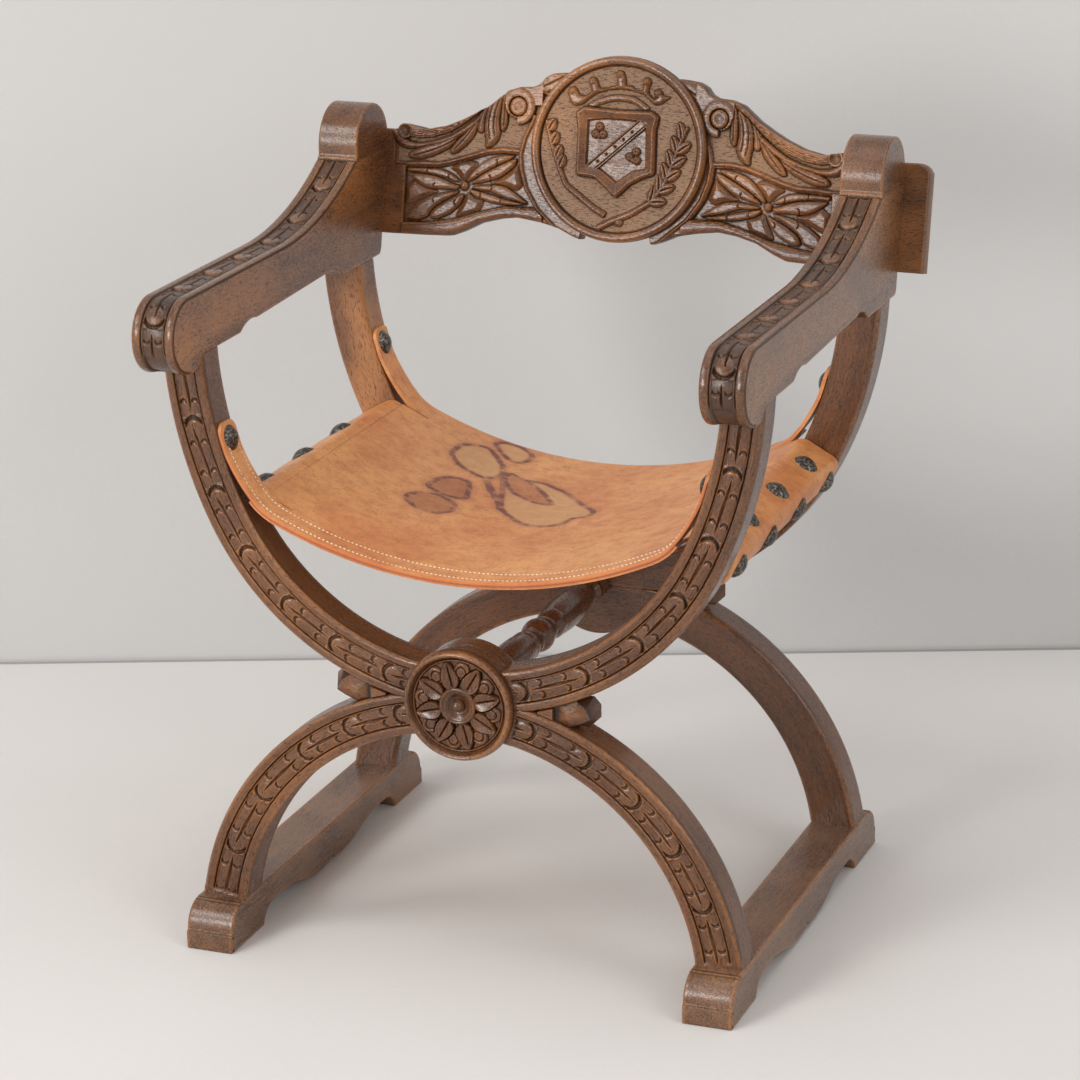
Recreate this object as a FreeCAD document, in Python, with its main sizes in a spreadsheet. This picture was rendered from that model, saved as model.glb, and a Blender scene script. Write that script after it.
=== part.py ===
import FreeCAD, Part

import math
import os
import re

import Sketcher

# Folding X-frame armchair: two curved frames crossing at turned hubs, two arms, a leather sling
# seat between padded rails and a carved back board that lifts off behind the arm posts.
# The chair faces -Y, stands on +Z = 0 and is centred on the origin.

# Sizes, in millimetres and degrees.
SIZES = {
    # Where the middle of the runners lies in front of or behind the origin.
    "base_shift": -10.9,
    # Foot runners.
    "runner_width": 55.0,
    "runner_height": 50.0,
    "toe_height": 21.0,
    "toe_ledge": 8.0,
    "toe_reveal": 3.0,
    "pad_length": 82.0,
    "pad_slope": 30.0,
    "arch_height": 20.0,
    "lobe_height": 5.0,
    "cusp_height": 11.0,
    "cusp_width": 14.0,
    # Curved legs of the crossing frames.
    "leg_width": 46.0,
    "leg_depth": 42.0,
    "leg_pitch": 410.0,
    "hub_height": 308.0,
    "hub_radius": 59.0,
    "arc_rise": 13.0,
    "lower_radius": 283.0,
    "upper_radius": 291.5,
    "upper_turn": 64.2,
    "flare_radius": 458.0,
    "foot_flare": 7.0,
    "lap_gap": 0.4,
    "turning_gap": 0.3,
    # Turned pivot rod between the two hubs.
    "pivot_radius": 11.0,
    "running_gap": 0.06,
    "rod_ball_radius": 19.0,
    "rod_ring_radius": 15.0,
    "rod_neck_radius": 11.5,
    "rod_vase_radius": 17.0,
    "rod_end_radius": 10.5,
    # Places along the rod: as shares of the ball's radius, and further out of half the rod's length.
    "rod_ball_share": 0.8,
    "rod_fillet_share": 0.9,
    "rod_ring_share": 1.15,
    "rod_neck_share": 1.25,
    "rod_vase_share": 2.4,
    "rod_curve_share": 1.6,
    "rod_taper_share": 0.84,
    "rod_collar_share": 0.87,
    "rod_shoulder_share": 0.92,
    "rod_tip_share": 0.95,
    # Carved roundel on the front hub and the plain cover on the rear one.
    "rosette_radius": 58.0,
    "rosette_depth": 14.0,
    "rosette_rim": 7.0,
    "rosette_sink": 4.0,
    "rosette_dish": 15.0,
    "rosette_boss": 6.5,
    "rosette_face_share": 1.6,
    # Stop wedges in the crotches of the frames.
    "wedge_inset": 7.0,
    "wedge_length": 59.0,
    "wedge_setback": 5.0,
    "wedge_point": 8.0,
    "stop_gap": 0.3,
    # Arms.
    "arm_width": 48.0,
    "arm_underside": 660.0,
    "arm_height": 69.0,
    "nose_reach": 64.5,
    "nose_radius": 41.5,
    "nose_heel": 16.0,
    "sweep_reveal": 8.0,
    "sweep_start": 20.0,
    "post_setback": 42.0,
    "post_radius": 45.0,
    "post_rise": 65.0,
    "post_heel": 12.0,
    "lean": 12.5,
    "notch_gap": 1.0,
    "front_flat": 54.0,
    "rear_flat": 46.5,
    "scallop_width": 42.0,
    "scallop_rise": 7.0,
    "scallop_rise_rear": 12.0,
    "scallop_curve_share": 1.2,
    "post_heel_curve_share": 1.4,
    "nose_heel_curve_share": 1.3,
    # Seat rails and their leather wraps.
    "rail_slope": 27.4,
    "rail_width": 43.0,
    "rail_depth": 30.0,
    "rail_corner": 7.0,
    "tenon_radius": 10.0,
    "tenon_length": 22.0,
    "tenon_ease": 0.1,
    "leather": 4.0,
    "leather_ease": 0.1,
    # Sling seat.
    "sling_sag": 65.0,
    "sling_inset": 4.0,
    "tab_clear": 2.0,
    "tab_rise": 79.0,
    "tab_touch_rise": 47.0,
    "tab_root_drop": 5.0,
    "tab_standoff": 12.0,
    "tab_turn_share": 0.833,
    "tab_curve_share": 6.0,
    "soft_gap": 0.3,
    # Dome-headed nails.
    "nail_radius": 14.0,
    "nail_rise": 7.0,
    "nail_shank": 2.5,
    "nail_length": 20.0,
    "nail_pitch_share": 0.277,
    "top_nails_shift": 20.0,
    "tab_nail_drop": 19.0,
    # Dowels of the arms and runners.
    "dowel_radius": 6.0,
    "dowel_length": 44.0,
    "dowel_ease": 0.1,
    # Back board.
    "board_thickness": 20.0,
    "board_gap": 0.3,
    "board_overhang": 27.6,
    "board_below": 102.7,
    "board_above": 17.1,
    "board_corner": 10.0,
    "board_curl_radius": 14.0,
    "board_sweep_radius": 150.0,
    "board_scroll_radius": 61.0,
    "board_leaf_radius": 42.0,
    "board_arch_radius": 158.0,
    "medallion_radius": 103.0,
    "medallion_lift": 13.0,
    "medallion_rise": 13.0,
    "medallion_rim": 9.0,
    "medallion_sink": 5.0,
    "panel_depth": 4.0,
    # Headed pegs that hold the board, and their grooves.
    "peg_lift": 2.0,
    "peg_radius": 3.0,
    "peg_length": 22.0,
    "peg_head_radius": 7.0,
    "peg_head_depth": 2.5,
    "groove_lip": 3.0,
    "groove_play": 1.0,
    "groove_ease": 0.5,
    "mouth_slope_share": 1.7,
    "left_peg_offset": 0.0,
    "right_peg_offset": 14.0,
    # Spare length that carries each cutting shape past the face it cuts.
    "overrun": 5.0,
}

doc = FreeCAD.newDocument("folding_armchair")
sheet = doc.addObject("Spreadsheet::Sheet", "Sizes")
for row, (alias, size) in enumerate(SIZES.items(), start=1):
    sheet.set(f"A{row}", alias)
    sheet.set(f"B{row}", str(size))
    sheet.setAlias(f"B{row}", alias)
doc.recompute()

NODES = []


def bound(text):
    """The expression with each size's name pointed at its cell."""
    names = r"[A-Za-z_][A-Za-z_0-9]*"
    return re.sub(names, lambda found: f"Sizes.{found[0]}" if found[0] in SIZES else found[0], str(text))


def worth(text):
    """The number that an expression in the sizes comes to."""
    found = sheet.evalExpression(bound(text))
    return float(getattr(found, "Value", found))


def node(shape_object, name):
    """Marks a finished sub-part, whose Label names its file."""
    shape_object.Label = name
    NODES.append(shape_object)
    return shape_object


def place(thing, x=0, y=0, z=0, axis=None, angle=0):
    """Binds where an object stands, and its turn about an axis."""
    turn = FreeCAD.Rotation(FreeCAD.Vector(*axis), worth(angle)) if axis else FreeCAD.Rotation()
    thing.Placement = FreeCAD.Placement(FreeCAD.Vector(worth(x), worth(y), worth(z)), turn)
    for letter, text in (("x", x), ("y", y), ("z", z)):
        thing.setExpression(f"Placement.Base.{letter}", bound(text))
    return thing


def plane(body, role):
    return [feature for feature in body.Origin.OriginFeatures if feature.Role == role][0]


def new_body(x=0, y=0, z=0, axis=None, angle=0):
    return place(doc.addObject("PartDesign::Body", "Body"), x, y, z, axis, angle)


def blank_sketch(body, role, offset=0):
    sketch = body.newObject("Sketcher::SketchObject", "Outline")
    sketch.AttachmentSupport = (plane(body, role), [""])
    sketch.MapMode = "FlatFace"
    sketch.AttachmentOffset = FreeCAD.Placement(FreeCAD.Vector(0, 0, worth(offset)), FreeCAD.Rotation())
    sketch.setExpression("AttachmentOffset.Base.z", bound(offset))
    return sketch


def bulged(start, end, radius, side):
    """The arc of this radius from start to end that bulges left (+1) or right (-1) of the way."""
    middle = (start + end) * 0.5
    along = end - start
    half = along.Length / 2
    sag = radius - math.sqrt(max(radius * radius - half * half, 0))
    left = FreeCAD.Vector(-along.y, along.x, 0).normalize()
    return Part.Arc(start, middle + left * (side * sag), end)


def draw(sketch, start, steps, closed=True):
    """Draws an outline from start through steps: a step is a corner (x, y), or (x, y, radius, side)
    for an arc that ends there. Every corner and radius is bound to the sizes."""
    corners = [start] + [step[:2] for step in steps]
    points = [FreeCAD.Vector(worth(x), worth(y), 0) for x, y in corners]
    if closed:
        points[-1] = points[0]
    ends = []
    for index, step in enumerate(steps):
        first, last = points[index], points[index + 1]
        if len(step) == 2:
            edge = sketch.addGeometry(Part.LineSegment(first, last), False)
            ends.append((1, 2))
            continue
        _, _, radius, side = step
        edge = sketch.addGeometry(bulged(first, last, worth(radius), side), False)
        ends.append((2, 1) if side > 0 else (1, 2))
        dimension = sketch.addConstraint(Sketcher.Constraint("Radius", edge, worth(radius)))
        sketch.setExpression(f"Constraints[{dimension}]", bound(radius))
    joins = len(steps) if closed else len(steps) - 1
    for index in range(joins):
        after = (index + 1) % len(steps)
        sketch.addConstraint(Sketcher.Constraint("Coincident", index, ends[index][1], after, ends[after][0]))
    anchored = [(index, ends[index][0], corners[index]) for index in range(len(steps))]
    if not closed:
        anchored.append((len(steps) - 1, ends[-1][1], corners[-1]))
    for edge, end, (x, y) in anchored:
        for kind, text in (("DistanceX", x), ("DistanceY", y)):
            dimension = sketch.addConstraint(Sketcher.Constraint(kind, edge, end, worth(text)))
            sketch.setExpression(f"Constraints[{dimension}]", bound(text))
    return sketch


def outline(body, role, start, steps, offset=0):
    return draw(blank_sketch(body, role, offset), start, steps)


def ring(body, role, circles, offset=0):
    """A sketch of circles, each (x, y, radius)."""
    sketch = blank_sketch(body, role, offset)
    for x, y, radius in circles:
        middle = FreeCAD.Vector(worth(x), worth(y), 0)
        edge = sketch.addGeometry(Part.Circle(middle, FreeCAD.Vector(0, 0, 1), worth(radius)), False)
        for kind, arguments, text in (
            ("DistanceX", (edge, 3), x),
            ("DistanceY", (edge, 3), y),
            ("Radius", (edge,), radius),
        ):
            dimension = sketch.addConstraint(Sketcher.Constraint(kind, *arguments, worth(text)))
            sketch.setExpression(f"Constraints[{dimension}]", bound(text))
    return sketch


def grow(body, sketch, length, kind="Pad", symmetric=False, reverse=False):
    """A Pad or Pocket of the sketch."""
    feature = body.newObject(f"PartDesign::{kind}", kind)
    feature.Profile = sketch
    feature.Length = worth(length)
    feature.setExpression("Length", bound(length))
    feature.SideType = "Symmetric" if symmetric else "One side"
    feature.Reversed = reverse
    return feature


def turn(body, start, steps):
    """A turned piece: the outline's first coordinate runs along Y and its second is the radius."""
    sketch = outline(body, "YZ_Plane", start, steps)
    feature = body.newObject("PartDesign::Revolution", "Revolution")
    feature.Profile = sketch
    feature.ReferenceAxis = (sketch, ["H_Axis"])
    feature.Angle = 360
    return feature


def cylinder(radius, length, x=0, y=0, z=0, axis=None, angle=0):
    made = doc.addObject("Part::Cylinder", "Cylinder")
    made.setExpression("Radius", bound(radius))
    made.setExpression("Height", bound(length))
    return place(made, x, y, z, axis, angle)


def block(length, width, height, x=0, y=0, z=0, axis=None, angle=0):
    made = doc.addObject("Part::Box", "Block")
    for name, text in (("Length", length), ("Width", width), ("Height", height)):
        made.setExpression(name, bound(text))
    return place(made, x, y, z, axis, angle)


def cut(base, tools):
    """The base with the tools taken away, one after another."""
    for tool in tools:
        made = doc.addObject("Part::Cut", "Cut")
        made.Base = base
        made.Tool = tool
        base = made
    return base


def signed(sign, text):
    return text if sign > 0 else f"-({text})"


FRONT, REAR = -1, 1
LEFT, RIGHT = -1, 1
SIDES = {LEFT: "left", RIGHT: "right"}
ENDS = {FRONT: "front", REAR: "rear"}
X_AXIS, Y_AXIS = (1, 0, 0), (0, 1, 0)

# Places that several pieces share.
LEG_Y = {end: f"base_shift + {end} * leg_pitch / 2" for end in ENDS}
UPPER_CENTRE = "(hub_height + arc_rise + upper_radius)"
LOWER_CENTRE = "(hub_height - arc_rise - lower_radius)"
HALF_WIDTH = "leg_width / 2"
FLARE_X = "((upper_radius - flare_radius) * sin(upper_turn))"
FLARE_Z = f"({UPPER_CENTRE} - (upper_radius - flare_radius) * cos(upper_turn))"


def upper_leg_x(height, offset):
    """How far out the upper leg's curve is at a height above its lower turn."""
    radius = f"(flare_radius + {offset})"
    return f"({FLARE_X} + sqrt({radius} ^ 2 - ({height} - {FLARE_Z}) ^ 2))"


ARM_X = upper_leg_x("arm_underside", "0")


def rail_place(side, across, up):
    """Where a spot of the tilted rail's section lies: across is outward, up is away from the seat."""
    x = f"(upper_radius * cos(rail_slope) + ({across}) * cos(rail_slope) + ({up}) * sin(rail_slope))"
    z = (f"({UPPER_CENTRE} - upper_radius * sin(rail_slope) - ({across}) * sin(rail_slope)"
         f" + ({up}) * cos(rail_slope))")
    return signed(side, x), z


RAIL_LENGTH = "(leg_pitch - leg_depth)"
WRAP_HALF_WIDTH = "(rail_width / 2 + leather_ease + leather)"
WRAP_HALF_DEPTH = "(rail_depth / 2 + leather_ease + leather)"

# The sling's edge lies where the inner top corner of a wrapped rail is.
SLING_X, CREST_Z = rail_place(RIGHT, f"-{WRAP_HALF_WIDTH}", WRAP_HALF_DEPTH)
TAB_TOP = f"({CREST_Z} + tab_rise)"
TAB_NAIL_Z = f"({TAB_TOP} - tab_nail_drop)"


def upper_outline(body, side):
    """From the hub's seam out along the leg's lower edge, up to the arm and back inside."""
    outer = f"(upper_radius + {HALF_WIDTH})"
    inner = f"(upper_radius - {HALF_WIDTH})"
    seam = "(hub_height + lap_gap / 2)"
    crossing = f"sqrt({outer} ^ 2 - ({UPPER_CENTRE} - {seam}) ^ 2)"
    steps = [
        (crossing, seam),
        (f"{outer} * sin(upper_turn)", f"{UPPER_CENTRE} - {outer} * cos(upper_turn)", outer, -side),
        (upper_leg_x("arm_underside", HALF_WIDTH), "arm_underside", f"flare_radius + {HALF_WIDTH}", -side),
        (upper_leg_x("arm_underside", f"-{HALF_WIDTH}"), "arm_underside"),
        (f"{inner} * sin(upper_turn)", f"{UPPER_CENTRE} - {inner} * cos(upper_turn)",
         f"flare_radius - {HALF_WIDTH}", side),
        ("0", f"{UPPER_CENTRE} - {inner}", inner, side),
        ("0", seam),
    ]
    steps = [(signed(side, step[0]), *step[1:]) for step in steps]
    return outline(body, "XZ_Plane", ("0", seam), steps)


def lower_outline(body, side):
    """From the hub's seam out along the leg's upper edge, down to the runner and back inside."""
    outer = f"(lower_radius + {HALF_WIDTH} + foot_flare)"
    outer_centre = f"({LOWER_CENTRE} - foot_flare)"
    inner = f"(lower_radius - {HALF_WIDTH})"
    seam = "(hub_height - lap_gap / 2)"
    steps = [
        (f"sqrt({outer} ^ 2 - ({seam} - {outer_centre}) ^ 2)", seam),
        (f"sqrt({outer} ^ 2 - (runner_height - {outer_centre}) ^ 2)", "runner_height", outer, side),
        (f"sqrt({inner} ^ 2 - (runner_height - {LOWER_CENTRE}) ^ 2)", "runner_height"),
        ("0", f"{LOWER_CENTRE} + {inner}", inner, -side),
        ("0", seam),
    ]
    steps = [(signed(side, step[0]), *step[1:]) for step in steps]
    return outline(body, "XZ_Plane", ("0", seam), steps)


def leg(end, level, side, outer_disc):
    """One curved leg with its half of a hub disc, which laps the other frame's disc.
    outer_disc: its frame's disc lies on the hub's outer half, away from the chair's middle."""
    body = new_body(y=LEG_Y[end])
    draw_leg = upper_outline if level == "upper" else lower_outline
    grow(body, draw_leg(body, side), "leg_depth", symmetric=True)
    toward_front = (end == FRONT) == outer_disc
    facing = 1 if toward_front else -1
    clear = ring(body, "XZ_Plane", [("0", "hub_height", "hub_radius + turning_gap")],
                 f"{facing} * lap_gap / 2")
    grow(body, clear, "leg_depth / 2 + lap_gap / 2 + overrun", "Pocket", reverse=not toward_front)
    low, high = "hub_height - hub_radius", "hub_height + hub_radius"
    disc = outline(body, "XZ_Plane", ("0", low), [
        (signed(side, "hub_radius"), "hub_height", "hub_radius", -side),
        ("0", high, "hub_radius", -side),
        ("0", low),
    ], f"{facing} * lap_gap / 2")
    grow(body, disc, "leg_depth / 2 - lap_gap / 2", reverse=not toward_front)
    fit = "dowel_ease" if outer_disc else "running_gap"
    bore = ring(body, "XZ_Plane", [("0", "hub_height", f"pivot_radius + {fit}")])
    grow(body, bore, "leg_depth + overrun", "Pocket", symmetric=True)
    return body


def dowel_holes(end, level, side):
    """The bore for the dowel at the leg's top or foot."""
    if level == "upper":
        x, z = signed(side, ARM_X), "arm_underside - dowel_length / 2 - dowel_ease"
    else:
        x, z = signed(side, FOOT_X), "runner_height - overrun"
    length = "dowel_length / 2 + dowel_ease + overrun"
    return [cylinder("dowel_radius + dowel_ease", length, x, LEG_Y[end], z)]


FOOT_X = (f"(sqrt((lower_radius - {HALF_WIDTH}) ^ 2 - (runner_height - {LOWER_CENTRE}) ^ 2)"
          " + runner_width / 2)")
TAB_WIDTH = "(leg_depth - sling_inset - tab_clear)"
TAB_NAIL_Y = {end: f"{LEG_Y[end]} + {end} * (tab_clear - sling_inset) / 2" for end in ENDS}


TAB_FACE = f"-{HALF_WIDTH} - 2 * soft_gap - leather"
TAB_NAIL_TILT = f"asin(({FLARE_Z} - {TAB_NAIL_Z}) / (flare_radius + {TAB_FACE}))"


def tab_nail_hole(end, side):
    """The bore under a tab's nail, square to the leg: through the leather and into the wood."""
    x = f"{upper_leg_x(TAB_NAIL_Z, TAB_FACE)} - overrun * cos({TAB_NAIL_TILT})"
    z = f"{TAB_NAIL_Z} + overrun * sin({TAB_NAIL_TILT})"
    return cylinder("nail_shank + dowel_ease", "overrun + nail_length + dowel_ease", signed(side, x),
                    TAB_NAIL_Y[end], z, Y_AXIS, signed(side, f"(90 deg + {TAB_NAIL_TILT})"))


def make_legs():
    for end in ENDS:
        for level, side in (("upper", LEFT), ("lower", RIGHT), ("upper", RIGHT), ("lower", LEFT)):
            outer_disc = (level, side) in (("upper", LEFT), ("lower", RIGHT))
            body = leg(end, level, side, outer_disc)
            tools = dowel_holes(end, level, side)
            if level == "upper":
                tools += [tab_nail_hole(end, side), rail_mortise(end, side)]
            node(cut(body, tools), f"{ENDS[end]}_{level}_{SIDES[side]}_leg")


def rail_mortise(end, side):
    """The bore that takes the seat rail's round tenon."""
    x, z = rail_place(side, "0", "0")
    depth = "tenon_length + tenon_ease + overrun"
    start = f"{LEG_Y[end]} - {end} * (leg_depth / 2 + overrun)"
    if end == FRONT:
        start = f"{start} - ({depth})"
    return cylinder("tenon_radius + tenon_ease", depth, x, f"{start} + {depth}", z, X_AXIS, 90)


def make_wedges():
    """Blocks in the crotches of the frames, with a diamond-cut face to the outside."""
    for end in ENDS:
        for side in SIDES:
            make_wedge(end, side)


def make_wedge(end, side):
    """It is fixed to the edge of the frame that carries the left arm, and stops the other one."""
    upper_gap, lower_gap = ("0", "stop_gap") if side == LEFT else ("stop_gap", "0")
    upper = f"(upper_radius + {HALF_WIDTH} + {upper_gap})"
    lower = f"(lower_radius + {HALF_WIDTH} + foot_flare + {lower_gap})"
    lower_centre = f"({LOWER_CENTRE} - foot_flare)"

    def top(x):
        return f"({UPPER_CENTRE} - sqrt({upper} ^ 2 - ({x}) ^ 2))"

    def bottom(x):
        return f"({lower_centre} + sqrt({lower} ^ 2 - ({x}) ^ 2))"

    upper_edge = f"sqrt({upper} ^ 2 - ({UPPER_CENTRE} - hub_height) ^ 2)"
    lower_edge = f"sqrt({lower} ^ 2 - (hub_height - {lower_centre}) ^ 2)"
    wedge_start = f"(({upper_edge} + {lower_edge}) / 2 + wedge_inset)"
    wedge_end = f"({wedge_start} + wedge_length)"
    end_low = f"({wedge_end} - wedge_point)"
    body = new_body(y=f"{LEG_Y[end]}")
    steps = [
        (wedge_end, top(wedge_end), upper, -side),
        (f"{wedge_end} + wedge_point / 2", f"({top(wedge_end)} + {bottom(end_low)}) / 2"),
        (end_low, bottom(end_low)),
        (wedge_start, bottom(wedge_start), lower, -side),
        (wedge_start, top(wedge_start)),
    ]
    steps = [(signed(side, step[0]), *step[1:]) for step in steps]
    start = (signed(side, wedge_start), top(wedge_start))
    grow(body, outline(body, "XZ_Plane", start, steps), "leg_depth - 2 * wedge_setback", symmetric=True)
    node(body, f"{ENDS[end]}_{SIDES[side]}_stop_wedge")


def make_pivot_rod():
    """Turned rod whose end tenons run through both hubs."""
    inside = "(leg_pitch / 2 - leg_depth / 2 - turning_gap)"
    end = "(leg_pitch / 2 + leg_depth / 2)"
    half = [
        ("0", "rod_ball_radius"),
        ("rod_ball_radius * rod_ball_share", "rod_neck_radius", "rod_ball_radius", 1),
        ("rod_ball_radius * rod_fillet_share", "rod_ring_radius"),
        ("rod_ball_radius * rod_ring_share", "rod_ring_radius"),
        ("rod_ball_radius * rod_neck_share", "rod_neck_radius"),
        ("rod_ball_radius * rod_vase_share", "rod_vase_radius", "rod_ball_radius * rod_curve_share", 1),
        (f"{inside} * rod_taper_share", "rod_end_radius", f"{inside} * rod_curve_share", 1),
        (f"{inside} * rod_collar_share", "rod_ring_radius"),
        (f"{inside} * rod_shoulder_share", "rod_ring_radius"),
        (f"{inside} * rod_tip_share", "rod_neck_radius"),
        (inside, "rod_ring_radius"),
        (inside, "pivot_radius"),
        (end, "pivot_radius"),
        (end, "0"),
    ]
    back = []
    for index in range(len(half) - 2, -1, -1):
        x, y = half[index][:2]
        after = half[index + 1]
        back.append((f"-({x})", y, *after[2:]))
    start = (f"-({end})", "0")
    mirrored = [(f"-({half[-2][0]})", half[-2][1])] + back[1:]
    steps = mirrored + half[1:] + [start]
    body = new_body(y="base_shift", z="hub_height")
    turn(body, start, steps)
    node(body, "pivot_rod")


def make_hub_faces():
    """The carved roundel in front and a plain turned cover behind, each on its frame's hub."""
    face = "base_shift - leg_pitch / 2 - leg_depth / 2"
    body = new_body(y=face, z="hub_height")
    depth = "-rosette_depth"
    turn(body, ("0", "0"), [
        ("0", "rosette_radius"),
        (f"{depth} + rosette_rim", "rosette_radius"),
        (depth, "rosette_radius - rosette_rim", "rosette_rim", 1),
        (f"{depth} + rosette_sink", "rosette_radius - rosette_face_share * rosette_rim"),
        (f"{depth} + rosette_sink / 2", "rosette_dish"),
        (f"{depth} + 2 * rosette_sink", "rosette_boss"),
        (f"{depth} + rosette_sink", "rosette_boss"),
        (depth, "0", "(rosette_boss ^ 2 + rosette_sink ^ 2) / (2 * rosette_sink)", -1),
        ("0", "0"),
    ])
    node(body, "front_rosette")
    body = new_body(y="base_shift + leg_pitch / 2 + leg_depth / 2", z="hub_height")
    turn(body, ("0", "0"), [
        ("rosette_depth", "0"),
        ("rosette_depth", "rosette_radius - rosette_rim"),
        ("rosette_depth - rosette_rim", "rosette_radius", "rosette_rim", 1),
        ("0", "rosette_radius"),
        ("0", "0"),
    ])
    node(body, "rear_hub_cover")


def make_runners():
    """Sledge feet: stepped round shoulders at both ends and a cut-away underside."""
    half = "((leg_pitch + leg_depth) / 2 + toe_ledge + runner_height - toe_height + toe_reveal)"
    shoulder = f"({half} - (runner_height - toe_height) - toe_reveal)"
    heel = f"({half} - pad_length)"
    spring = f"({heel} - pad_slope)"
    side_steps = [
        (f"{half}", "toe_height"),
        (f"{half} - toe_reveal", "toe_height"),
        (f"{shoulder}", "runner_height", "runner_height - toe_height", -1),
    ]
    front = [(f"-({x})", y, *rest) for x, y, *rest in side_steps]
    top = [(front[0]), (front[1]), (front[2][0], front[2][1], "runner_height - toe_height", 1)]
    rear = [
        (side_steps[2][0], "runner_height"),
        (side_steps[1][0], "toe_height", "runner_height - toe_height", 1),
        (half, "toe_height"),
        (half, "0"),
        (heel, "0"),
        (spring, "arch_height", "pad_slope", -1),
    ]
    arch = [
        (f"{spring} / 2", "lobe_height + cusp_height / 2", "leg_pitch / 2", -1),
        ("cusp_width / 2", "lobe_height", "leg_pitch / 2", 1),
        ("0", "cusp_height"),
        ("-cusp_width / 2", "lobe_height"),
        (f"-{spring} / 2", "lobe_height + cusp_height / 2", "leg_pitch / 2", 1),
        (f"-{spring}", "arch_height", "leg_pitch / 2", -1),
        (f"-{heel}", "0", "pad_slope", -1),
        (f"-{half}", "0"),
    ]
    for side in SIDES:
        body = new_body(x=signed(side, FOOT_X), y="base_shift")
        steps = top + rear + arch
        grow(body, outline(body, "YZ_Plane", (f"-{half}", "0"), steps), "runner_width", symmetric=True)
        tools = [cylinder("dowel_radius + dowel_ease", "dowel_length / 2 + dowel_ease + overrun",
                          signed(side, FOOT_X), LEG_Y[end], "runner_height - dowel_length / 2 - dowel_ease")
                 for end in ENDS]
        node(cut(body, tools), f"{SIDES[side]}_foot_runner")


# The arms, and the line up the back of the posts that the board rests against.
ARM_TOP = "(arm_underside + arm_height)"
LEG_FRONT = "((leg_pitch + leg_depth) / 2)"
POST_FRONT = f"({LEG_FRONT} - post_setback)"
POST_Y = f"({POST_FRONT} + post_radius)"
POST_Z = f"({ARM_TOP} + post_rise)"
REST_Y = f"({POST_Y} + post_radius * cos(lean))"
REST_Z = f"({POST_Z} - post_radius * sin(lean))"


def make_arms():
    """Arms sawn from thick stock: scrolled nose, swept top and a round-topped leaning post."""
    notch = f"-({LEG_FRONT} + notch_gap)"
    nose_y = f"({notch} - nose_reach + nose_radius)"
    nose_z = f"({ARM_TOP} - nose_radius)"
    foot_y = f"({REST_Y} - ({REST_Z} - arm_underside - post_heel) * tan(lean))"
    sweep = f"({POST_FRONT} + sweep_start)"
    sweep_rise = "(post_rise - sweep_reveal)"
    sweep_radius = f"(({sweep} ^ 2 + {sweep_rise} ^ 2) / (2 * {sweep_rise}))"
    sweep_top = f"({ARM_TOP} + {sweep_rise})"
    front_scallop = f"(-({RAIL_LENGTH} / 2 - front_flat))"
    rear_scallop = f"({RAIL_LENGTH} / 2 - rear_flat)"
    steps = [
        (front_scallop, "arm_underside"),
        (f"{front_scallop} + scallop_width", "arm_underside + scallop_rise",
         "scallop_width * scallop_curve_share", 1),
        (f"{rear_scallop} - scallop_width", "arm_underside + scallop_rise_rear"),
        (rear_scallop, "arm_underside", "scallop_width", 1),
        (f"{foot_y} - post_heel / 2", "arm_underside"),
        (foot_y, "arm_underside + post_heel", "post_heel * post_heel_curve_share", -1),
        (REST_Y, REST_Z),
        (POST_Y, f"{POST_Z} + post_radius", "post_radius", -1),
        (POST_FRONT, POST_Z, "post_radius", -1),
        (POST_FRONT, sweep_top),
        ("-sweep_start", ARM_TOP, sweep_radius, 1),
        (nose_y, ARM_TOP),
        (f"{nose_y} - nose_radius", nose_z, "nose_radius", -1),
        (nose_y, f"{nose_z} - nose_radius", "nose_radius", -1),
        (notch, "arm_underside", "nose_heel * nose_heel_curve_share", -1),
    ]
    for side in SIDES:
        body = new_body(x=signed(side, ARM_X), y="base_shift")
        profile = outline(body, "YZ_Plane", (notch, "arm_underside"), steps)
        grow(body, profile, "arm_width", symmetric=True)
        tools = [cylinder("dowel_radius + dowel_ease", "dowel_length / 2 + dowel_ease + overrun",
                          signed(side, ARM_X), LEG_Y[end], "arm_underside - overrun") for end in ENDS]
        tools.append(peg_part(side, "peg_radius + dowel_ease", "-peg_length - dowel_ease",
                              "peg_length + dowel_ease + overrun"))
        node(cut(body, tools), f"{SIDES[side]}_arm")


def make_dowels():
    for end in ENDS:
        for side in SIDES:
            name = f"{SIDES[side]}_{ENDS[end]}"
            node(cylinder("dowel_radius", "dowel_length", signed(side, ARM_X), LEG_Y[end],
                          "arm_underside - dowel_length / 2"), f"{name}_arm_dowel")
            node(cylinder("dowel_radius", "dowel_length", signed(side, FOOT_X), LEG_Y[end],
                          "runner_height - dowel_length / 2"), f"{name}_foot_dowel")


def rounded(body, half_width, half_height, corner):
    """A rounded rectangle about the body's own origin."""
    w, t, c = half_width, half_height, corner
    start = (f"-({w}) + {c}", f"-({t})")
    return outline(body, "XZ_Plane", start, [
        (f"{w} - {c}", f"-({t})"), (w, f"-({t}) + {c}", c, -1),
        (w, f"{t} - {c}"), (f"{w} - {c}", t, c, -1),
        (f"-({w}) + {c}", t), (f"-({w})", f"{t} - {c}", c, -1),
        (f"-({w})", f"-({t}) + {c}"), (start[0], start[1], c, -1),
    ])


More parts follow.
